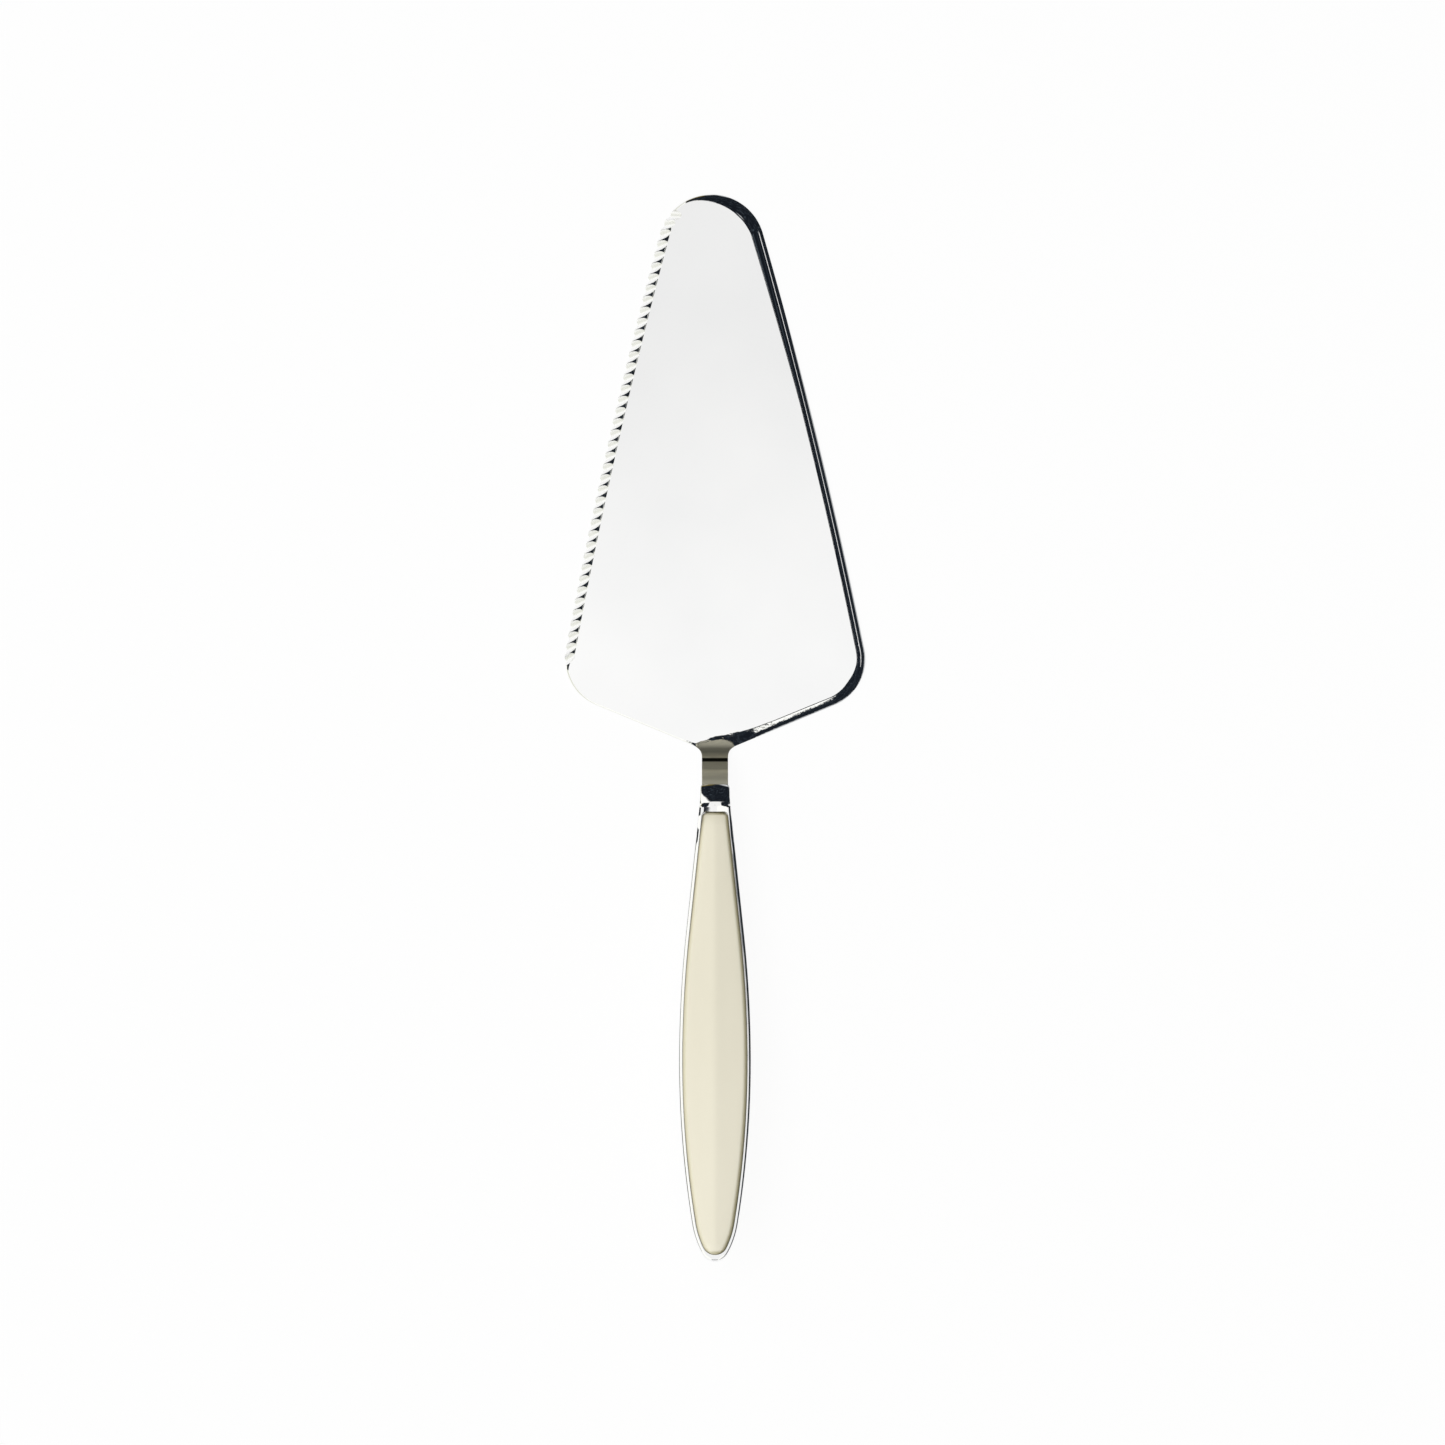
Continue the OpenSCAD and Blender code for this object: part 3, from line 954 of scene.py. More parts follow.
    def widen(self, point: Vector) -> Vector:
        """Gives a point of the margin the width and the drop that the margin has at its place.

        Args:
            point: A point of the blade's mesh.

        Returns:
            Where it goes. Round the neck's root the margin is a wide plain slope.
        """
        plain, whole = self.margin_drop(), self.margin_w()
        if point.z < self.sheet - plain - self.top_spare:
            return point
        depth, angle = self.outline.nearest((point.x, point.y))
        share = self.share(angle, point)
        drop = (self.sheet - point.z) * min(1.0, share + self.drop_spare)
        if angle > self.rear_turn or angle < -self.outline.rear_angle:
            near = ease(point.x, *self.root_left) * (1 - ease(point.x, *self.root_right))
            angle += ((270 if angle > self.rear_turn else -90) - angle) * near
            if self.root_w[0][0] < point.x < self.root_w[-1][0]:
                share = along_table(self.root_w, point.x) / whole
            deep = plain * min(1.0, share + self.root_spare)
            deep += (self.root_drop - plain) * ease(point.x, *self.root_deepens)
            drop += (deep * max(0.0, 1 - depth / whole) - drop) * near
        away = Vector((cos(angle), sin(angle), 0))
        return Vector((point.x, point.y, self.sheet - drop)) - away * depth * (share - 1)

    def build(self) -> bpy.types.Object:
        """Builds the blade's mesh, with its finish, so that the flutes keep their own."""
        obj = self.slab()
        self.roll(obj)
        # Painted light on the blade: 7 % brighter near the neck, 3.5 % darker towards the tip.
        finish = PolishedSteel(
            "polished_blade_steel", hairline=0.01, streaks=0.2, edge=0.06, painted_light_shares=(1.07, 0.965)
        )
        obj.data.materials.append(finish.make())
        Bench.shape(obj, self.widen)
        for first in (0, 1):
            Bench.cut(obj, self.serration.cutters(self.outline, self.sheet, first))
        Bench.finish(obj, moved(0, -self.middle_y, 0), self.sharp)
        return obj

    def dress(self, obj: bpy.types.Object) -> None:
        """Gives the blade its place in the model."""
        settle(obj, Slot.BLADE, "blade")


# Neck


@dataclass
class Crank:
    """Side profile of the neck: y runs along +Y from the root and z is the height."""

    sheet: float = 1.8
    bend_lead: float = 1.1
    steep: float = 60.0
    lower_r: float = 4.2
    upper_r: float = 2.6
    ramp: float = 4.0
    tail: float = 0.5
    slope: float = 8.0

    def lower_center(self) -> Plan:
        """Returns the centre of the lower bend."""
        return self.bend_lead, self.sheet + self.lower_r

    def upper_center(self) -> Plan:
        """Returns the centre of the upper bend."""
        gap = self.lower_r + self.sheet + self.upper_r
        y, z = self.lower_center()
        return (
            y - gap * sin(self.steep) - self.ramp * cos(self.steep),
            z - gap * cos(self.steep) + self.ramp * sin(self.steep),
        )

    def seat(self) -> Plan:
        """Returns the place on the handle's mid plane where the neck enters the bolster."""
        y, z = self.upper_center()
        lift = self.upper_r + self.sheet / 2
        return (
            y + lift * sin(self.slope) - self.tail * cos(self.slope),
            z + lift * cos(self.slope) + self.tail * sin(self.slope),
        )


@dataclass
class Neck:
    """Cranked neck: a strip that leaves the blade in two fillets, bends up and enters the bolster.

    The painted reflection bands are places ahead of the root and their tones, dark and bright painted
    reflections on the steel. The dip lowers the root's top between two such places. The steps are those of
    the lower bend, the ramp, the upper bend, the way into the bolster and the tang.
    """

    middle_y: float
    crank: Crank = field(default_factory=Crank)
    outline: Outline = field(default_factory=Outline)
    fillet_r: float = 2.4
    tang_w: float = 4.4
    tang_len: float = 26.0
    tang_lead: float = 2.0
    tang_from: float = -8.0
    base_z: float = 0.05
    arch_top: float = 2.5
    arch_steps: int = 12
    arch_spare: float = 0.01
    sharp: float = 35.0
    steps: tuple[int, ...] = (20, 4, 16, 3, 2)
    cut_shares: tuple[float, ...] = (-0.9, -0.7, -0.45, -0.15, 0.15, 0.45, 0.7, 0.9)
    dip: float = 0.3
    dip_run: Plan = (-2.6, 1.4)
    # Painted reflection bands: the tone 0.01 is a painted dark line, and tones above 1 are painted bright
    # bands.
    painted_reflection_bands: Table = (
        (-8.1, 0.88), (-7.0, 0.95), (-6.0, 1.13), (-4.75, 1.18), (-4.6, 0.9), (-2.95, 0.86), (-2.75, 0.01),
        (-2.1, 0.01), (-1.9, 1.0), (-0.5, 0.5), (0.2, 0.46), (1.2, 0.75), (2.4, 0.92),
    )

    def half_width(self, y: float) -> float:
        """Returns half the neck's width in plan.

        Args:
            y: Distance ahead of the root.

        Returns:
            Half the width, which grows in a fillet and ends in an arch on the blade.
        """
        half = self.outline.neck_w / 2
        turn = self.outline.rear_angle
        center_y = self.fillet_r * (tan(turn) - 1 / cos(turn))
        end_y = center_y + self.fillet_r * cos(turn)
        if y <= center_y:
            return half
        if y < end_y:
            return half + self.fillet_r - math.sqrt(self.fillet_r**2 - (y - center_y) ** 2)
        share = min(1.0, (y - end_y) / (self.arch_top + self.arch_spare - end_y))
        return (half + end_y / tan(turn)) * math.sqrt(1 - share * share)

    def strip(self) -> bpy.types.Object:
        """Spins the strip's end face round both bends and draws the tang out of it."""
        crank, half = self.crank, self.outline.neck_w / 2
        low, high = (-half, crank.bend_lead, self.base_z), (half, self.arch_top, crank.sheet)
        obj = Bench.block("cranked_neck", low, high)
        Bench.pick(obj, "EDIT")
        run = self.arch_top - crank.bend_lead
        steps = [crank.bend_lead + run * sin(90 * i / self.arch_steps) for i in range(1, self.arch_steps)]
        planes = [((0, y, 0), (0, 1, 0)) for y in steps]
        for place, normal in planes + [((share * half, 0, 0), (1, 0, 0)) for share in self.cut_shares]:
            bpy.ops.mesh.select_all(action="SELECT")
            Bench.slice(place, normal)
        rear = crank.bend_lead * MM
        Bench.choose_faces(
            obj, lambda f: f.normal.y < -FACING and abs(f.calc_center_median().y - rear) < LEVEL
        )
        lower, ramp, upper, lead, tang = self.steps
        self.bend(crank.lower_center(), -crank.steep, lower)
        self.draw(crank.ramp, crank.steep, ramp)
        self.bend(crank.upper_center(), crank.steep - crank.slope, upper)
        self.draw(crank.tail + self.tang_lead, crank.slope, lead)
        bpy.ops.transform.resize(value=(self.tang_w / self.outline.neck_w, 1, 1))
        self.draw(self.tang_len - self.tang_lead, crank.slope, tang)
        bpy.ops.object.mode_set(mode="OBJECT")
        return obj

    @staticmethod
    def bend(center: Plan, angle: float, steps: int) -> None:
        """Spins the selected end face round an axis along X. The operator counts angles the other way."""
        place = (0, center[0] * MM, center[1] * MM)
        bpy.ops.mesh.spin(steps=steps, angle=math.radians(-angle), center=place, axis=(1, 0, 0))

    @staticmethod
    def draw(length: float, slope: float, steps: int) -> None:
        """Extrudes the selected end face back along a slope.

        Args:
            length: Length that is added.
            slope: Angle of the way up.
            steps: Number of steps.
        """
        move = Vector((0, -cos(slope), sin(slope))) * length / steps * MM
        for _ in range(steps):
            bpy.ops.mesh.extrude_region_move(TRANSFORM_OT_translate={"value": move})

    def spread(self, point: Vector) -> Vector:
        """Widens the strip into its fillets, rounds its front end to an arch and lowers its top there.

        Args:
            point: A point of the strip.

        Returns:
            Where it goes.
        """
        if point.y < self.tang_from:
            return point
        center_y, center_z = self.crank.lower_center()
        half = self.outline.neck_w / 2
        wide = self.half_width(point.y) if point.z < center_z else half
        ahead = min(0.0, point.y - center_y)
        top = center_z - math.sqrt(max(0.0, self.crank.lower_r**2 - ahead**2))
        drop = self.dip * ease(point.y, *self.dip_run) if point.z > top - self.dip else 0
        return Vector((point.x / half * wide, point.y, point.z - drop))

    def build(self) -> bpy.types.Object:
        """Builds the neck's mesh."""
        obj = self.strip()
        Bench.shape(obj, self.spread)
        Bench.finish(obj, moved(0, -self.middle_y, 0), self.sharp)
        return obj

    def dress(self, obj: bpy.types.Object) -> None:
        """Gives the neck its finish and its place in the model.

        Args:
            obj: The neck.
        """
        painted_reflection_bands = tuple((y - self.middle_y, tone) for y, tone in self.painted_reflection_bands)
        obj.data.materials.append(DullSteel("dull_neck_steel", painted_reflection_bands).make())
        settle(obj, Slot.BLADE)


# Handle


@dataclass
class HandleOutline:
    """Half outline of the handle or of an inlay, as stations of distance back and half width.

    A straight flare, the front arc, the tail arc and the shoulder follow each other, and the nose ends it.
    """

    half: float
    inset: float
    nose_r: float
    widest_at: float = 0.0
    front_r: float = 290.0
    tail_r: float = 238.0
    flare: float = 6.0
    shoulder_angle: float = 9.2
    shoulder_r: float = 22.0
    nose_last: float = 86.0
    steps: tuple[int, ...] = (14, 10, 10)

    def shoulder(self) -> Plan:
        """Returns the shoulder circle's centre, measured from the widest place and the mid line."""
        reach = self.tail_r - self.shoulder_r
        off = self.half - (self.tail_r - self.inset) + reach * cos(self.shoulder_angle)
        return reach * sin(self.shoulder_angle), off

    def nose_turn(self) -> float:
        """Returns the angle at which the nose starts."""
        return math.degrees(math.acos(-self.shoulder()[1] / (self.shoulder_r - self.inset - self.nose_r)))

    def nose_center(self) -> float:
        """Returns the nose circle's centre, measured from the widest place."""
        return self.shoulder()[0] + (self.shoulder_r - self.inset - self.nose_r) * sin(self.nose_turn())

    def end_at(self, end: float) -> None:
        """Moves the widest place so that the nose reaches a distance back."""
        self.widest_at = end - self.nose_r - self.nose_center()

    def front_arc(self, angle: float) -> Plan:
        """Returns the station of the front arc at an angle before the widest place."""
        front = self.front_r - self.inset
        return self.widest_at - front * sin(angle), self.half - front * (1 - cos(angle))

    def front(self, start: float, steps: int) -> list[Plan]:
        """Returns the stations from a start to the widest place.

        Args:
            start: Distance back of the first station.
            steps: Number of steps on each stretch.

        Returns:
            The stations in order.
        """
        at, wide = self.front_arc(self.flare)
        straight = [start + (at - start) * i / steps for i in range(steps)]
        return [(h, wide - (at - h) * tan(self.flare)) for h in straight] + [
            self.front_arc(self.flare * (1 - i / steps)) for i in range(steps + 1)
        ]

    def tail(self) -> list[Plan]:
        """Returns the stations from behind the widest place to the end."""
        tail, small = self.tail_r - self.inset, self.shoulder_r - self.inset
        at, off = self.shoulder()
        turns = (0, self.shoulder_angle, self.nose_turn(), self.nose_last)
        arcs = ((0, self.half - tail, tail), (at, off, small), (self.nose_center(), 0, self.nose_r))
        stations = []
        for (along, across, radius), steps, start, end in zip(arcs, self.steps, turns, turns[1:]):
            for i in range(1, steps + 1):
                angle = start + (end - start) * i / steps
                stations.append((self.widest_at + along + radius * sin(angle), across + radius * cos(angle)))
        return stations


@dataclass
class HandleSizes:
    """Sizes of the handle. Its mid plane is z = 0 and it runs back along -Y from y = 0."""

    crank: Crank = field(default_factory=Crank)
    length: float = 112.5
    width: float = 16.9
    bolster_w: float = 7.0
    bolster_front_t: float = 3.5
    bolster_t: float = 5.8
    bolster_crest: float = 4.6
    crest_share: float = 0.92
    rim_t: float = 3.8
    rim_blend: float = 9.0
    web_t: float = 1.8
    nose_r: float = 3.3
    nose_flat_share: float = 0.25
    rim_w: float = 0.85
    end_rim_w: float = 1.5
    inlay_start: float = 6.65
    inlay_nose_r: float = 3.0
    corner_r: float = 0.9

    def frame_outline(self) -> HandleOutline:
        """Returns the outline of the steel frame."""
        outline = HandleOutline(self.width / 2, 0, self.nose_r)
        outline.end_at(self.length)
        return outline

    def inlay_outline(self) -> HandleOutline:
        """Returns the outline of an inlay."""
        outline = HandleOutline(self.width / 2 - self.rim_w, self.rim_w, self.inlay_nose_r)
        outline.end_at(self.length - self.end_rim_w)
        return outline

    def end_y(self) -> float:
        """Returns how far the handle's end lies ahead of the neck's root, which is a negative distance."""
        slope, flat = self.crank.slope, self.rim_t / 2 * self.nose_flat_share
        return self.crank.seat()[0] - self.length * cos(slope) - flat * sin(slope)

    def place(self, middle_y: float) -> Matrix:
        """Returns the matrix that sets the handle on the neck, with the part's middle at y = 0."""
        y, z = self.crank.seat()
        return moved(0, y - middle_y, z) @ turned(-self.crank.slope, "X")


@dataclass
class HandleFrame:
    """Polished bolster and rim in one piece, with a pocket on each face.

    flanks, lean and cant give the flanks' width and their slopes at the top and at the edge, by the distance
    back.
    """

    middle_y: float
    sizes: HandleSizes = field(default_factory=HandleSizes)
    dome: float = 0.38
    scoop: float = 0.62
    scoop_run: Plan = (-0.1, 1.0)
    scoop_fade: float = 8.0
    valley: float = 0.3
    crease: float = 0.2
    gap: float = 0.03
    pocket_top: float = 6.0
    flanks: Table = ((0, 0.3), (4.2, 0.3), (5, 0.7), (9, 0.75), (14, 1.0))
    lean: Table = ((4.2, 0), (5, 15), (8, 15), (15, 0))
    cant: Table = ((8, 33), (15, 19), (45, 16), (90, 14), (112, 10))
    lip: float = 0.1
    lip_share: float = 0.2
    lip_rise: float = 0.01
    lip_round: Plan = (0.3, 0.7)
    side_share: float = 0.3
    flank_steps: int = 6
    across_steps: int = 12
    flank_share: float = 0.6
    front_soft: float = 0.9
    front_dip: float = 0.09
    fine_lead: float = 0.5
    fine_step: float = 0.2
    fine_steps: int = 18
    end_fall: float = 0.25
    end_run: float = 1.4
    end_round: float = 0.1
    end_trim: float = 0.22
    plain_steps: int = 8
    front_steps: int = 14
    sharp: float = 30.0

    def stations(self) -> list[Plan]:
        """Returns the frame's stations from the bolster's front to the end."""
        sizes, outline = self.sizes, self.sizes.frame_outline()
        half, soft = sizes.bolster_w / 2, self.front_soft
        at, wide = outline.front_arc(outline.flare)
        start = at - (wide - half) / tan(outline.flare)
        nose = [(soft * (1 - cos(a)), half - soft * (1 - sin(a))) for a in (18, 36, 54, 72, 90)]
        plain = [(soft + (start - soft) * i / self.plain_steps, half) for i in range(1, self.plain_steps)]
        line = nose + plain + outline.front(start, self.front_steps) + outline.tail()
        nose_h = sizes.length - sizes.nose_r
        line = [(h - self.end_trim * max(0.0, (h - nose_h) / sizes.nose_r), wide) for h, wide in line]
        start = sizes.bolster_crest - self.fine_lead
        fine = [start + self.fine_step * step for step in range(self.fine_steps + 1)]
        apart = self.fine_step / 4
        extra = [(h, along_table(line, h)) for h in fine if min(abs(h - at) for at, _ in line) > apart]
        return sorted(line + extra)

    def half_thickness(self, h: float) -> float:
        """Returns half the frame's thickness.

        Args:
            h: Distance back.

        Returns:
            Half the thickness, which falls in small rounds at the front and at the end.
        """
        s = self.sizes
        rise = sin(90 * min(1, h / (s.bolster_crest * s.crest_share)))
        full = s.bolster_front_t + (s.bolster_t - s.bolster_front_t) * rise
        full -= (s.bolster_t - s.rim_t) * ease(h, s.bolster_crest, s.bolster_crest + s.rim_blend)
        left = s.length - self.end_trim - h
        end = self.end_fall * max(0.0, 1 - left / self.end_run)
        end += self.end_round * fall(max(0.0, 1 - left / self.end_round))
        return full / 2 - end - self.front_dip * fall(max(0.0, 1 - h / self.front_soft))

    def sag(self, h: float, share: float) -> float:
        """Returns how far the top lies below its middle line.

        Args:
            h: Distance back.
            share: Way across, from -1 to 1.

        Returns:
            The sag, positive on the domed bolster and negative in the scooped band behind it.
        """
        s = self.sizes
        band = ease(h, *(s.bolster_crest + run for run in self.scoop_run))
        fade = 1 - ease(h, s.inlay_start, s.inlay_start + self.scoop_fade)
        valley = self.valley - (math.sqrt(share * share + self.crease**2) - self.crease)
        return (self.dome * share * share * (1 - band) + self.scoop * valley * band) * fade

    def ring(self, h: float, half: float) -> list[Point]:
        """Returns the frame's section at a station.

        Args:
            h: Distance back.
            half: Half the frame's width there.

        Returns:
            The points of a slab with canted flanks that end in a small round.
        """
        thick = self.half_thickness(h)
        flank = min(half * self.flank_share, along_table(self.flanks, h))
        lean, cant = along_table(self.lean, h), along_table(self.cant, h)
        bow = flank / (sin(cant) - sin(lean))
        eave = thick - bow * (cos(lean) - cos(cant))
        lip = min(self.lip, thick * self.lip_share)
        in_share, down_share = self.lip_round
        edge = [(half, max(eave - 2 * lip, thick * self.side_share))]
        edge.append((half - lip * in_share, eave - lip * down_share))
        for a in [cant + (lean - cant) * step / self.flank_steps for step in range(self.flank_steps + 1)]:
            edge.append((half - flank + bow * (sin(a) - sin(lean)), thick - bow * (cos(lean) - cos(a))))
        edge[2] = (half - lip, edge[2][1] + self.lip_rise)
        points = []
        for side_x, side_z in ((1, 1), (-1, 1), (-1, -1), (1, -1)):
            inwards = side_x == side_z
            for x, z in edge if inwards else edge[::-1]:
                rise = self.sag(h, x / half) * min(1.0, z / eave)
                points.append((side_x * x, -h, side_z * (z - rise)))
            for step in range(1, self.across_steps) if inwards else ():
                x = side_x * (half - flank) * (1 - 2 * step / self.across_steps)
                points.append((x, -h, side_z * (thick - self.sag(h, x / half))))
        return points

    def pocket(self, face: Face) -> bpy.types.Object:
        """Makes the cutter of one pocket.

        Args:
            face: Face that the pocket is on.

        Returns:
            The cutter.
        """
        right = Inlay.side(self.sizes, self.gap)
        plan = [(x, -h) for h, x in right] + [(-x, -h) for h, x in reversed(right)]
        levels = (self.sizes.web_t / 2, self.pocket_top)
        return Bench.loft("pocket", [[(x, y, level * face.value) for x, y in plan] for level in levels])

    def build(self) -> bpy.types.Object:
        """Builds the frame's mesh, with its finish."""
        obj = Bench.loft("handle_frame_steel", [self.ring(h, half) for h, half in self.stations()])
        finish = PolishedSteel("polished_frame_steel", wave=0.12, hairline=0.015, edge=0.06)
        obj.data.materials.append(finish.make())
        for face in Face:
            Bench.cut(obj, self.pocket(face))
        Bench.finish(obj, self.sizes.place(self.middle_y), self.sharp)
        return obj

    def dress(self, obj: bpy.types.Object) -> None:
        """Gives the frame its place in the model."""
        settle(obj, Slot.FRAME, "handle_frame")


@dataclass
class Inlay:
    """Cream moulding in one pocket: crowned, with a soft ridge along its middle.

    The painted shade along its edge fades between two depths from the edge, and is weaker on the lit left
    side.
    """

    middle_y: float
    face: Face
    sizes: HandleSizes = field(default_factory=HandleSizes)
    crest_front: float = 2.7
    crest_mid: float = 3.5
    crest_end: float = 2.86
    roof: float = 6.0
    round_w: float = 1.3
    round_h: float = 1.45
    round_share: float = 0.6
    round_steps: int = 8
    front_round: float = 1.56
    end_round: float = 2.34
    end_sink: float = 1.16
    soft: float = 0.3
    slack: float = -0.01
    # Painted edge shade: the depths over which it fades, and its share on the lit left side.
    painted_shade: Plan = (0.3, 1.0)
    painted_shade_side: Plan = (-2, 2)
    painted_shade_left: float = 0.5
    sharp: float = 40.0

    @staticmethod
    def side(sizes: HandleSizes, gap: float) -> list[Plan]:
        """Returns an inlay's stations, widened by a gap.

        Args:
            sizes: Sizes of the handle.
            gap: Width that is added all round.

        Returns:
            Stations as distance back and half width.
        """
        outline, corner = sizes.inlay_outline(), sizes.corner_r
        body = outline.front(sizes.inlay_start + corner, 12)
        wide = body[0][1] - corner * tan(outline.flare)
        front = [
            (sizes.inlay_start + corner * (1 - sin(a)), wide - corner * (1 - cos(a)))
            for a in (90, 75, 60, 45, 30, 15)
        ]
        stations = front + body + outline.tail()
        first, last = stations[0][0], stations[-1][0]
        middle, front_reach, end_reach = (first + last) / 2, 0.5, 2.5
        widened = []
        for h, x in stations:
            end = 1 if h > last - end_reach else -1 if h < first + front_reach else 0
            widened.append((h + gap * end * abs(h - middle) / (last - middle), x + gap))
        return widened

    def crest(self, h: float, first: float, last: float) -> float:
        """Returns the ridge's height at a station, which sinks in a round at both ends.

        Args:
            h: Distance back.
            first: Distance back of the inlay's front.
            last: Distance back of its end.

        Returns:
            The height over the mid plane.
        """
        widest = self.sizes.inlay_outline().widest_at
        height = self.crest_front + (self.crest_mid - self.crest_front) * ease(h, first, widest)
        height -= (self.crest_mid - self.crest_end) * ease(h, widest, last)
        for share in ((h - first) / self.front_round, (last - h) / self.end_round):
            height -= self.end_sink * fall(max(0.0, 1 - share))
        return height

    def ring(self, h: float, half: float, crest: float) -> list[Point]:
        """Returns the inlay's section at a station.

        Args:
            h: Distance back.
            half: Half the inlay's width there.
            crest: Height of the ridge there.

        Returns:
            The points from the right base over the roof to the left base.
        """
        round_w, steps = min(self.round_w, half * self.round_share), self.round_steps
        flat = half - round_w
        eave = crest - flat * tan(self.roof)
        right = [(half, self.sizes.web_t / 2)]
        for step in range(steps + 1):
            a = 90 * step / steps
            right.append((flat + round_w * cos(a), eave - self.round_h * (1 - sin(a))))
        for x in [flat * (1 - step / steps) for step in range(1, steps + 1)]:
            right.append((x, crest - tan(self.roof) * (math.sqrt(x * x + self.soft**2) - self.soft)))
        whole = right + [(-x, z) for x, z in reversed(right[:-1])]
        return [(x, -h, z * self.face.value) for x, z in whole]

    def mark_painted_shade(self, obj: bpy.types.Object, stations: list[Plan]) -> None:
        """Writes how far the painted edge shade covers each point, from 0 to 1.

        Args:
            obj: The moulding, before it is set on the neck.
            stations: Its stations as distance back and half width.
        """
        share = obj.data.attributes.new(PAINTED_SHADE_SHARE, "FLOAT", "POINT")
        first, last = stations[0][0], stations[-1][0]
        for vertex in obj.data.vertices:
            x, h = vertex.co.x / MM, -vertex.co.y / MM
            depth = min(along_table(stations, h) - abs(x), last - h, h - first)
            side = self.painted_shade_left + (1 - self.painted_shade_left) * ease(x, *self.painted_shade_side)
            share.data[vertex.index].value = (1 - ease(depth, *self.painted_shade)) * side

    def build(self) -> bpy.types.Object:
        """Builds the inlay's mesh."""
        stations = self.side(self.sizes, self.slack)
        first, last = stations[0][0], stations[-1][0]
        rings = [self.ring(h, half, self.crest(h, first, last)) for h, half in stations]
        obj = Bench.loft(f"cream_inlay_{self.face.name.lower()}", rings)
        self.mark_painted_shade(obj, stations)
        Bench.finish(obj, self.sizes.place(self.middle_y), self.sharp)
        return obj

    def dress(self, obj: bpy.types.Object) -> None:
        """Gives the inlay its finish and its place in the model."""
        obj.data.materials.append(CreamPlastic("cream_moulding").make())
        settle(obj, Slot.PLASTIC, f"{self.face.name.lower()}_inlay")


# Studio


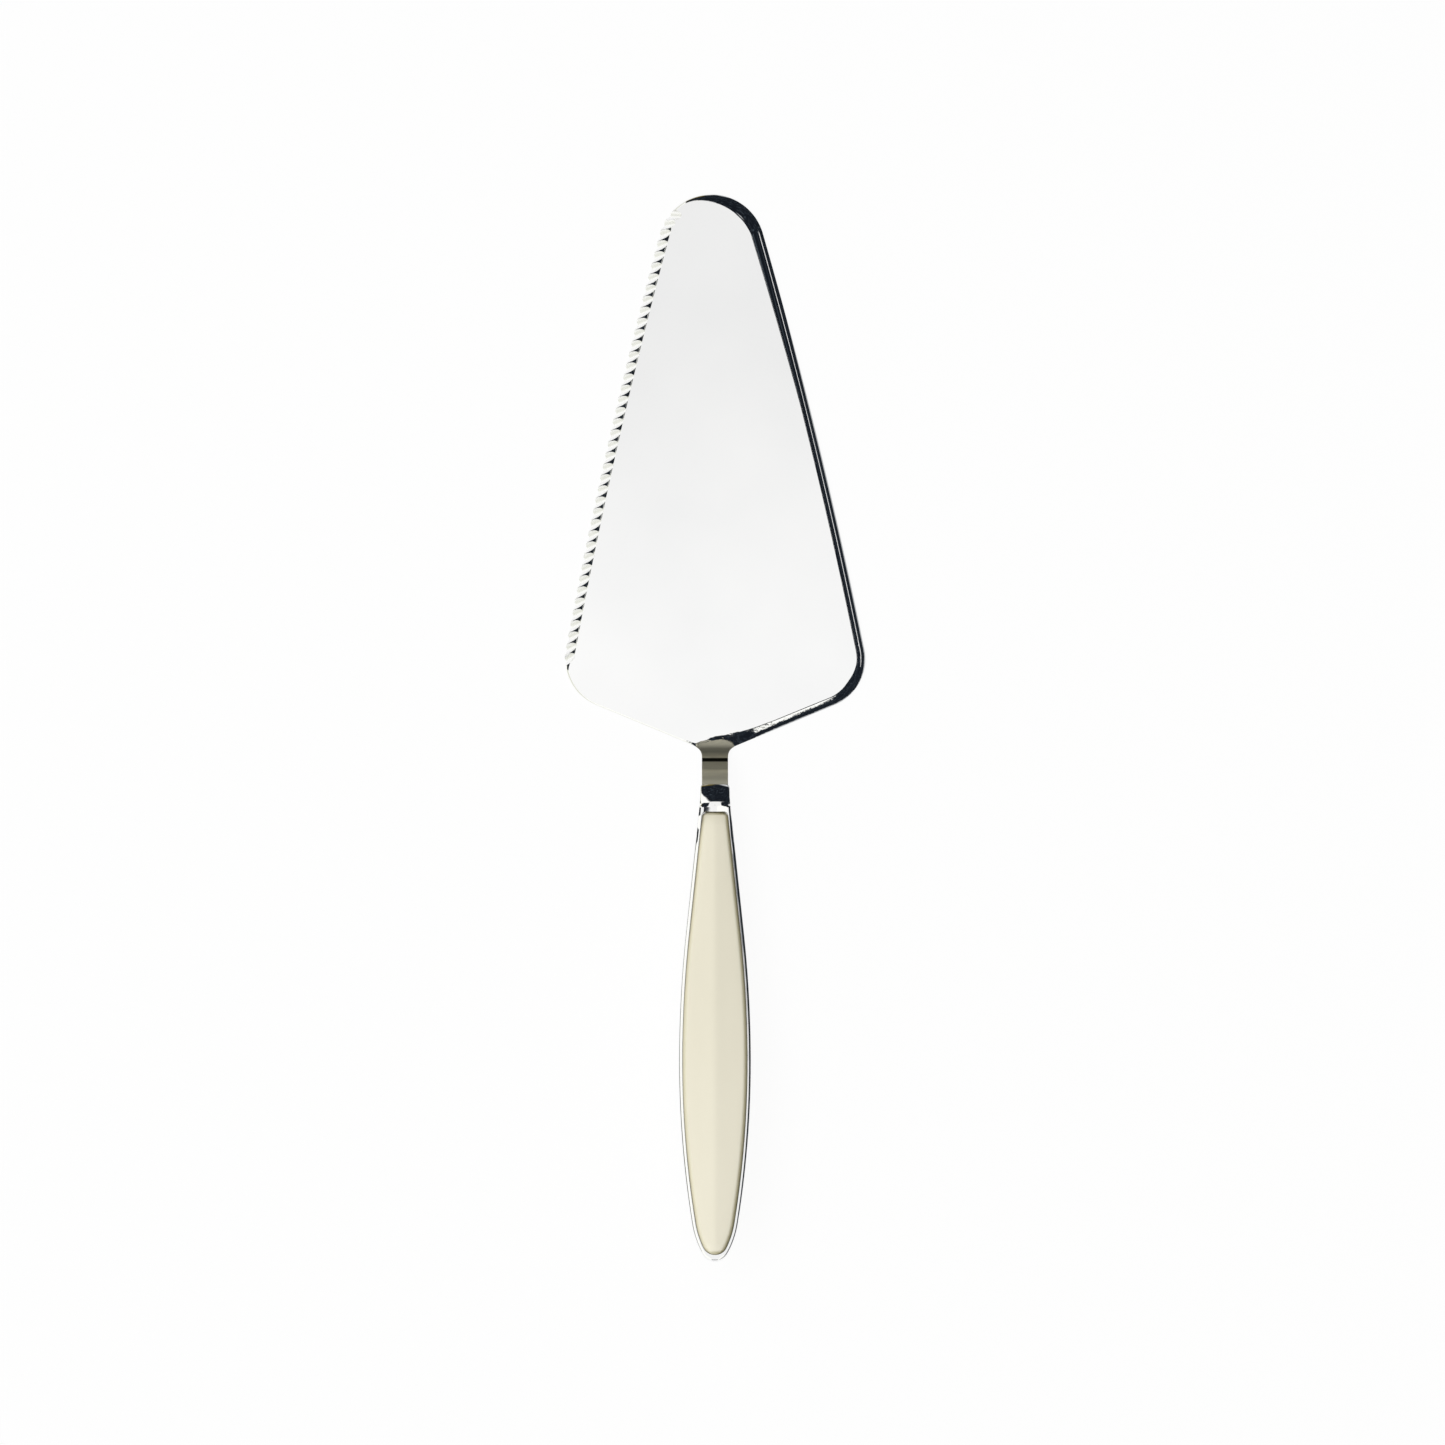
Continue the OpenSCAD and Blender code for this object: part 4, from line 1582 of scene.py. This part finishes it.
@dataclass
class Sky:
    """Studio round the object: white overhead and to the left, dark to the right and beyond the tip.

    Places on the sky are given on a ceiling one unit above the object, across along X and along Y. A field
    of two numbers is an edge and its softness, and one of three is a window's two edges and their softness.
    """

    horizon: float = 0.02
    least_back: float = 0.001
    right: Plan = (0.28, 0.05)
    beyond: Plan = (0.3, 0.06)
    beyond_turn: float = 0.5
    beyond_side: Plan = (0.0, 0.08)
    strip: Point = (0.84, 0.95, 0.02)
    strip_run: Point = (-0.15, 0.32, 0.06)
    patch: Point = (-1.9, -0.42, 0.06)
    patch_turn: Point = (0.0, 0.5, 0.05)
    behind: Point = (-0.34, 0.34, 0.06)
    behind_run: Plan = (-0.22, -0.1)
    low_reach: Plan = (3.4, 0.6)
    low_side: Plan = (0.8, 0.4)
    low_run: Plan = (-0.1, -0.1)
    bright_run: Plan = (-0.2, -0.16)
    bright_left: Plan = (-0.15, -0.1)
    grey_left: Point = (-3.2, -0.95, 0.4)
    olive_run: Plan = (3.6, 1.8)
    olive_left: Plan = (0.1, 0.6)
    specks: Plan = (0.62, 0.2)
    speck_scale: float = 26
    white: Point = (1.0, 1.0, 1.0)
    bright: Point = (1.14, 1.14, 1.1)
    grey: Point = (0.74, 0.75, 0.66)
    low_grey: Point = (0.5, 0.51, 0.52)
    navy: Point = (0.009, 0.0115, 0.0165)
    speck: Point = (0.06, 0.077, 0.095)
    olive: Point = (0.2, 0.16, 0.05)

    def build(self) -> None:
        """Builds the world, which is plain white to the camera."""
        world = bpy.data.worlds.new("studio_sky")
        bpy.context.scene.world = world
        nodes = Nodes(world, "OutputWorld")
        way = nodes.add("TexCoord").outputs["Generated"]
        split = nodes.add("SeparateXYZ", way).outputs
        height = nodes.math("MAXIMUM", split["Z"], self.horizon)
        across, along = (nodes.math("DIVIDE", split[axis], height) for axis in ("X", "Y"))
        left = nodes.math("MULTIPLY", across, -1.0)
        dark = self.dark(nodes, across, along, left)
        speckle = nodes.step(nodes.noise(way, self.speck_scale), *self.specks)
        olive = nodes.both(nodes.step(along, *self.olive_run), nodes.step(left, *self.olive_left))
        deep = nodes.mix(olive, nodes.mix(speckle, self.navy, self.speck), self.olive)
        bright = nodes.either(nodes.step(along, *self.bright_run), nodes.step(across, *self.bright_left))
        pale = nodes.mix(
            nodes.window(across, *self.grey_left), nodes.mix(bright, self.white, self.bright), self.grey
        )
        shown = nodes.mix(self.low(nodes, across, along, dark), nodes.mix(dark, pale, deep), self.low_grey)
        unseen = nodes.math("SUBTRACT", 1.0, nodes.add("LightPath").outputs["Is Camera Ray"])
        nodes.end("Background", Color=nodes.mix(unseen, self.white, shown))

    def dark(self, nodes: Nodes, across: Socket, along: Socket, left: Socket) -> Socket:
        """Returns where the studio is dark: on its right, beyond the tip and behind the handle.

        Args:
            nodes: The world's nodes.
            across: Place across.
            along: Place along.
            left: Place across, counted to the left.

        Returns:
            The share of dark.
        """
        turned_on = nodes.math("ADD", across, nodes.both(along, self.beyond_turn))
        beyond = nodes.both(nodes.step(along, *self.beyond), nodes.step(turned_on, *self.beyond_side))
        strip = nodes.both(nodes.window(across, *self.strip), nodes.window(along, *self.strip_run))
        side = nodes.both(
            nodes.either(nodes.step(across, *self.right), beyond), nodes.math("SUBTRACT", 1.0, strip)
        )
        turn = nodes.math("DIVIDE", along, left)
        patch = nodes.both(nodes.window(across, *self.patch), nodes.window(turn, *self.patch_turn))
        back = nodes.math("MAXIMUM", nodes.math("MULTIPLY", along, -1.0), self.least_back)
        swing = nodes.math("DIVIDE", across, back)
        behind = nodes.both(nodes.window(swing, *self.behind), nodes.step(along, *self.behind_run))
        return nodes.either(nodes.either(side, patch), behind)

    def low(self, nodes: Nodes, across: Socket, along: Socket, dark: Socket) -> Socket:
        """Returns where the dark side of the studio lies low and is grey.

        Args:
            nodes: The world's nodes.
            across: Place across.
            along: Place along.
            dark: Share of dark.

        Returns:
            The share of grey.
        """
        squares = [nodes.math("POWER", place, 2.0) for place in (across, along)]
        reach = nodes.math("SQRT", nodes.math("ADD", *squares))
        side = nodes.either(nodes.step(across, *self.low_side), nodes.step(along, *self.low_run))
        return nodes.both(nodes.both(nodes.step(reach, *self.low_reach), side), dark)


@dataclass
class Studio:
    """Floor, lamp and camera. The floor's size, the camera's height and reach and the lamp are in metres."""

    floor_gap: float = 0.02
    floor_size: float = 30.0
    frame_w: float = 338.6
    look: Plan = (1.76, 1.17)
    camera_height: float = 8.0
    camera_reach: float = 50.0
    lamp_power: float = 14.3
    lamp_size: float = 1.2
    lamp_place: Point = (-0.3, -0.1, 1.5)

    def build(self) -> None:
        """Builds the studio."""
        Sky().build()
        self.floor()
        self.lamp()
        self.camera()
        bpy.context.scene.view_settings.view_transform = "Standard"

    def floor(self) -> None:
        """Lays the floor under the blade."""
        Bench.clear()
        place = (0, 0, -self.floor_gap * MM)
        bpy.ops.mesh.primitive_plane_add(size=self.floor_size, location=place)
        floor = bpy.context.object
        floor.name = "studio_floor"
        floor.data.materials.append(StudioFloor().make())

    def lamp(self) -> None:
        """Hangs a large soft lamp over the left of the object."""
        data = bpy.data.lights.new("soft_lamp", "AREA")
        data.shape = "DISK"
        data.size = self.lamp_size
        data.energy = self.lamp_power
        lamp = bpy.data.objects.new("soft_lamp", data)
        bpy.context.scene.collection.objects.link(lamp)
        lamp.visible_glossy = False
        lamp.location = self.lamp_place
        lamp.rotation_euler = (-Vector(self.lamp_place)).to_track_quat("-Z", "Y").to_euler()

    def camera(self) -> None:
        """Sets the camera straight above the object."""
        data = bpy.data.cameras.new("camera")
        data.lens = data.sensor_width * self.camera_height / (self.frame_w * MM)
        data.clip_end = self.camera_reach
        camera = bpy.data.objects.new("camera", data)
        bpy.context.scene.collection.objects.link(camera)
        camera.location = (self.look[0] * MM, self.look[1] * MM, self.camera_height)
        bpy.context.scene.camera = camera


# Assembly


def dress_pins(frame: dict) -> None:
    """Gives the hidden pins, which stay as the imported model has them, their finish.
    """
    pins = frame["nodes"]["locating_pins"]
    pins.data.materials.clear()
    pins.data.materials.append(PolishedSteel("pin_steel", gloss=(0.2, 0.35), hairline=0.05).make())


def main() -> None:
    """Builds the cake server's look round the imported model, and the studio."""
    logging.basicConfig(level=logging.INFO, format="%(name)s: %(message)s")
    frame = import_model()
    middle_y = (Outline().length + HandleSizes().end_y()) / 2
    for piece in (
        Blade(middle_y),
        Neck(middle_y),
        HandleFrame(middle_y),
        Inlay(middle_y, Face.FRONT),
        Inlay(middle_y, Face.BACK),
    ):
        obj = piece.build()
        piece.dress(obj)
        log.info("%s: %d faces", obj.name, len(obj.data.polygons))
    dress_pins(frame)
    Studio().build()


if __name__ == "__main__":
    main()
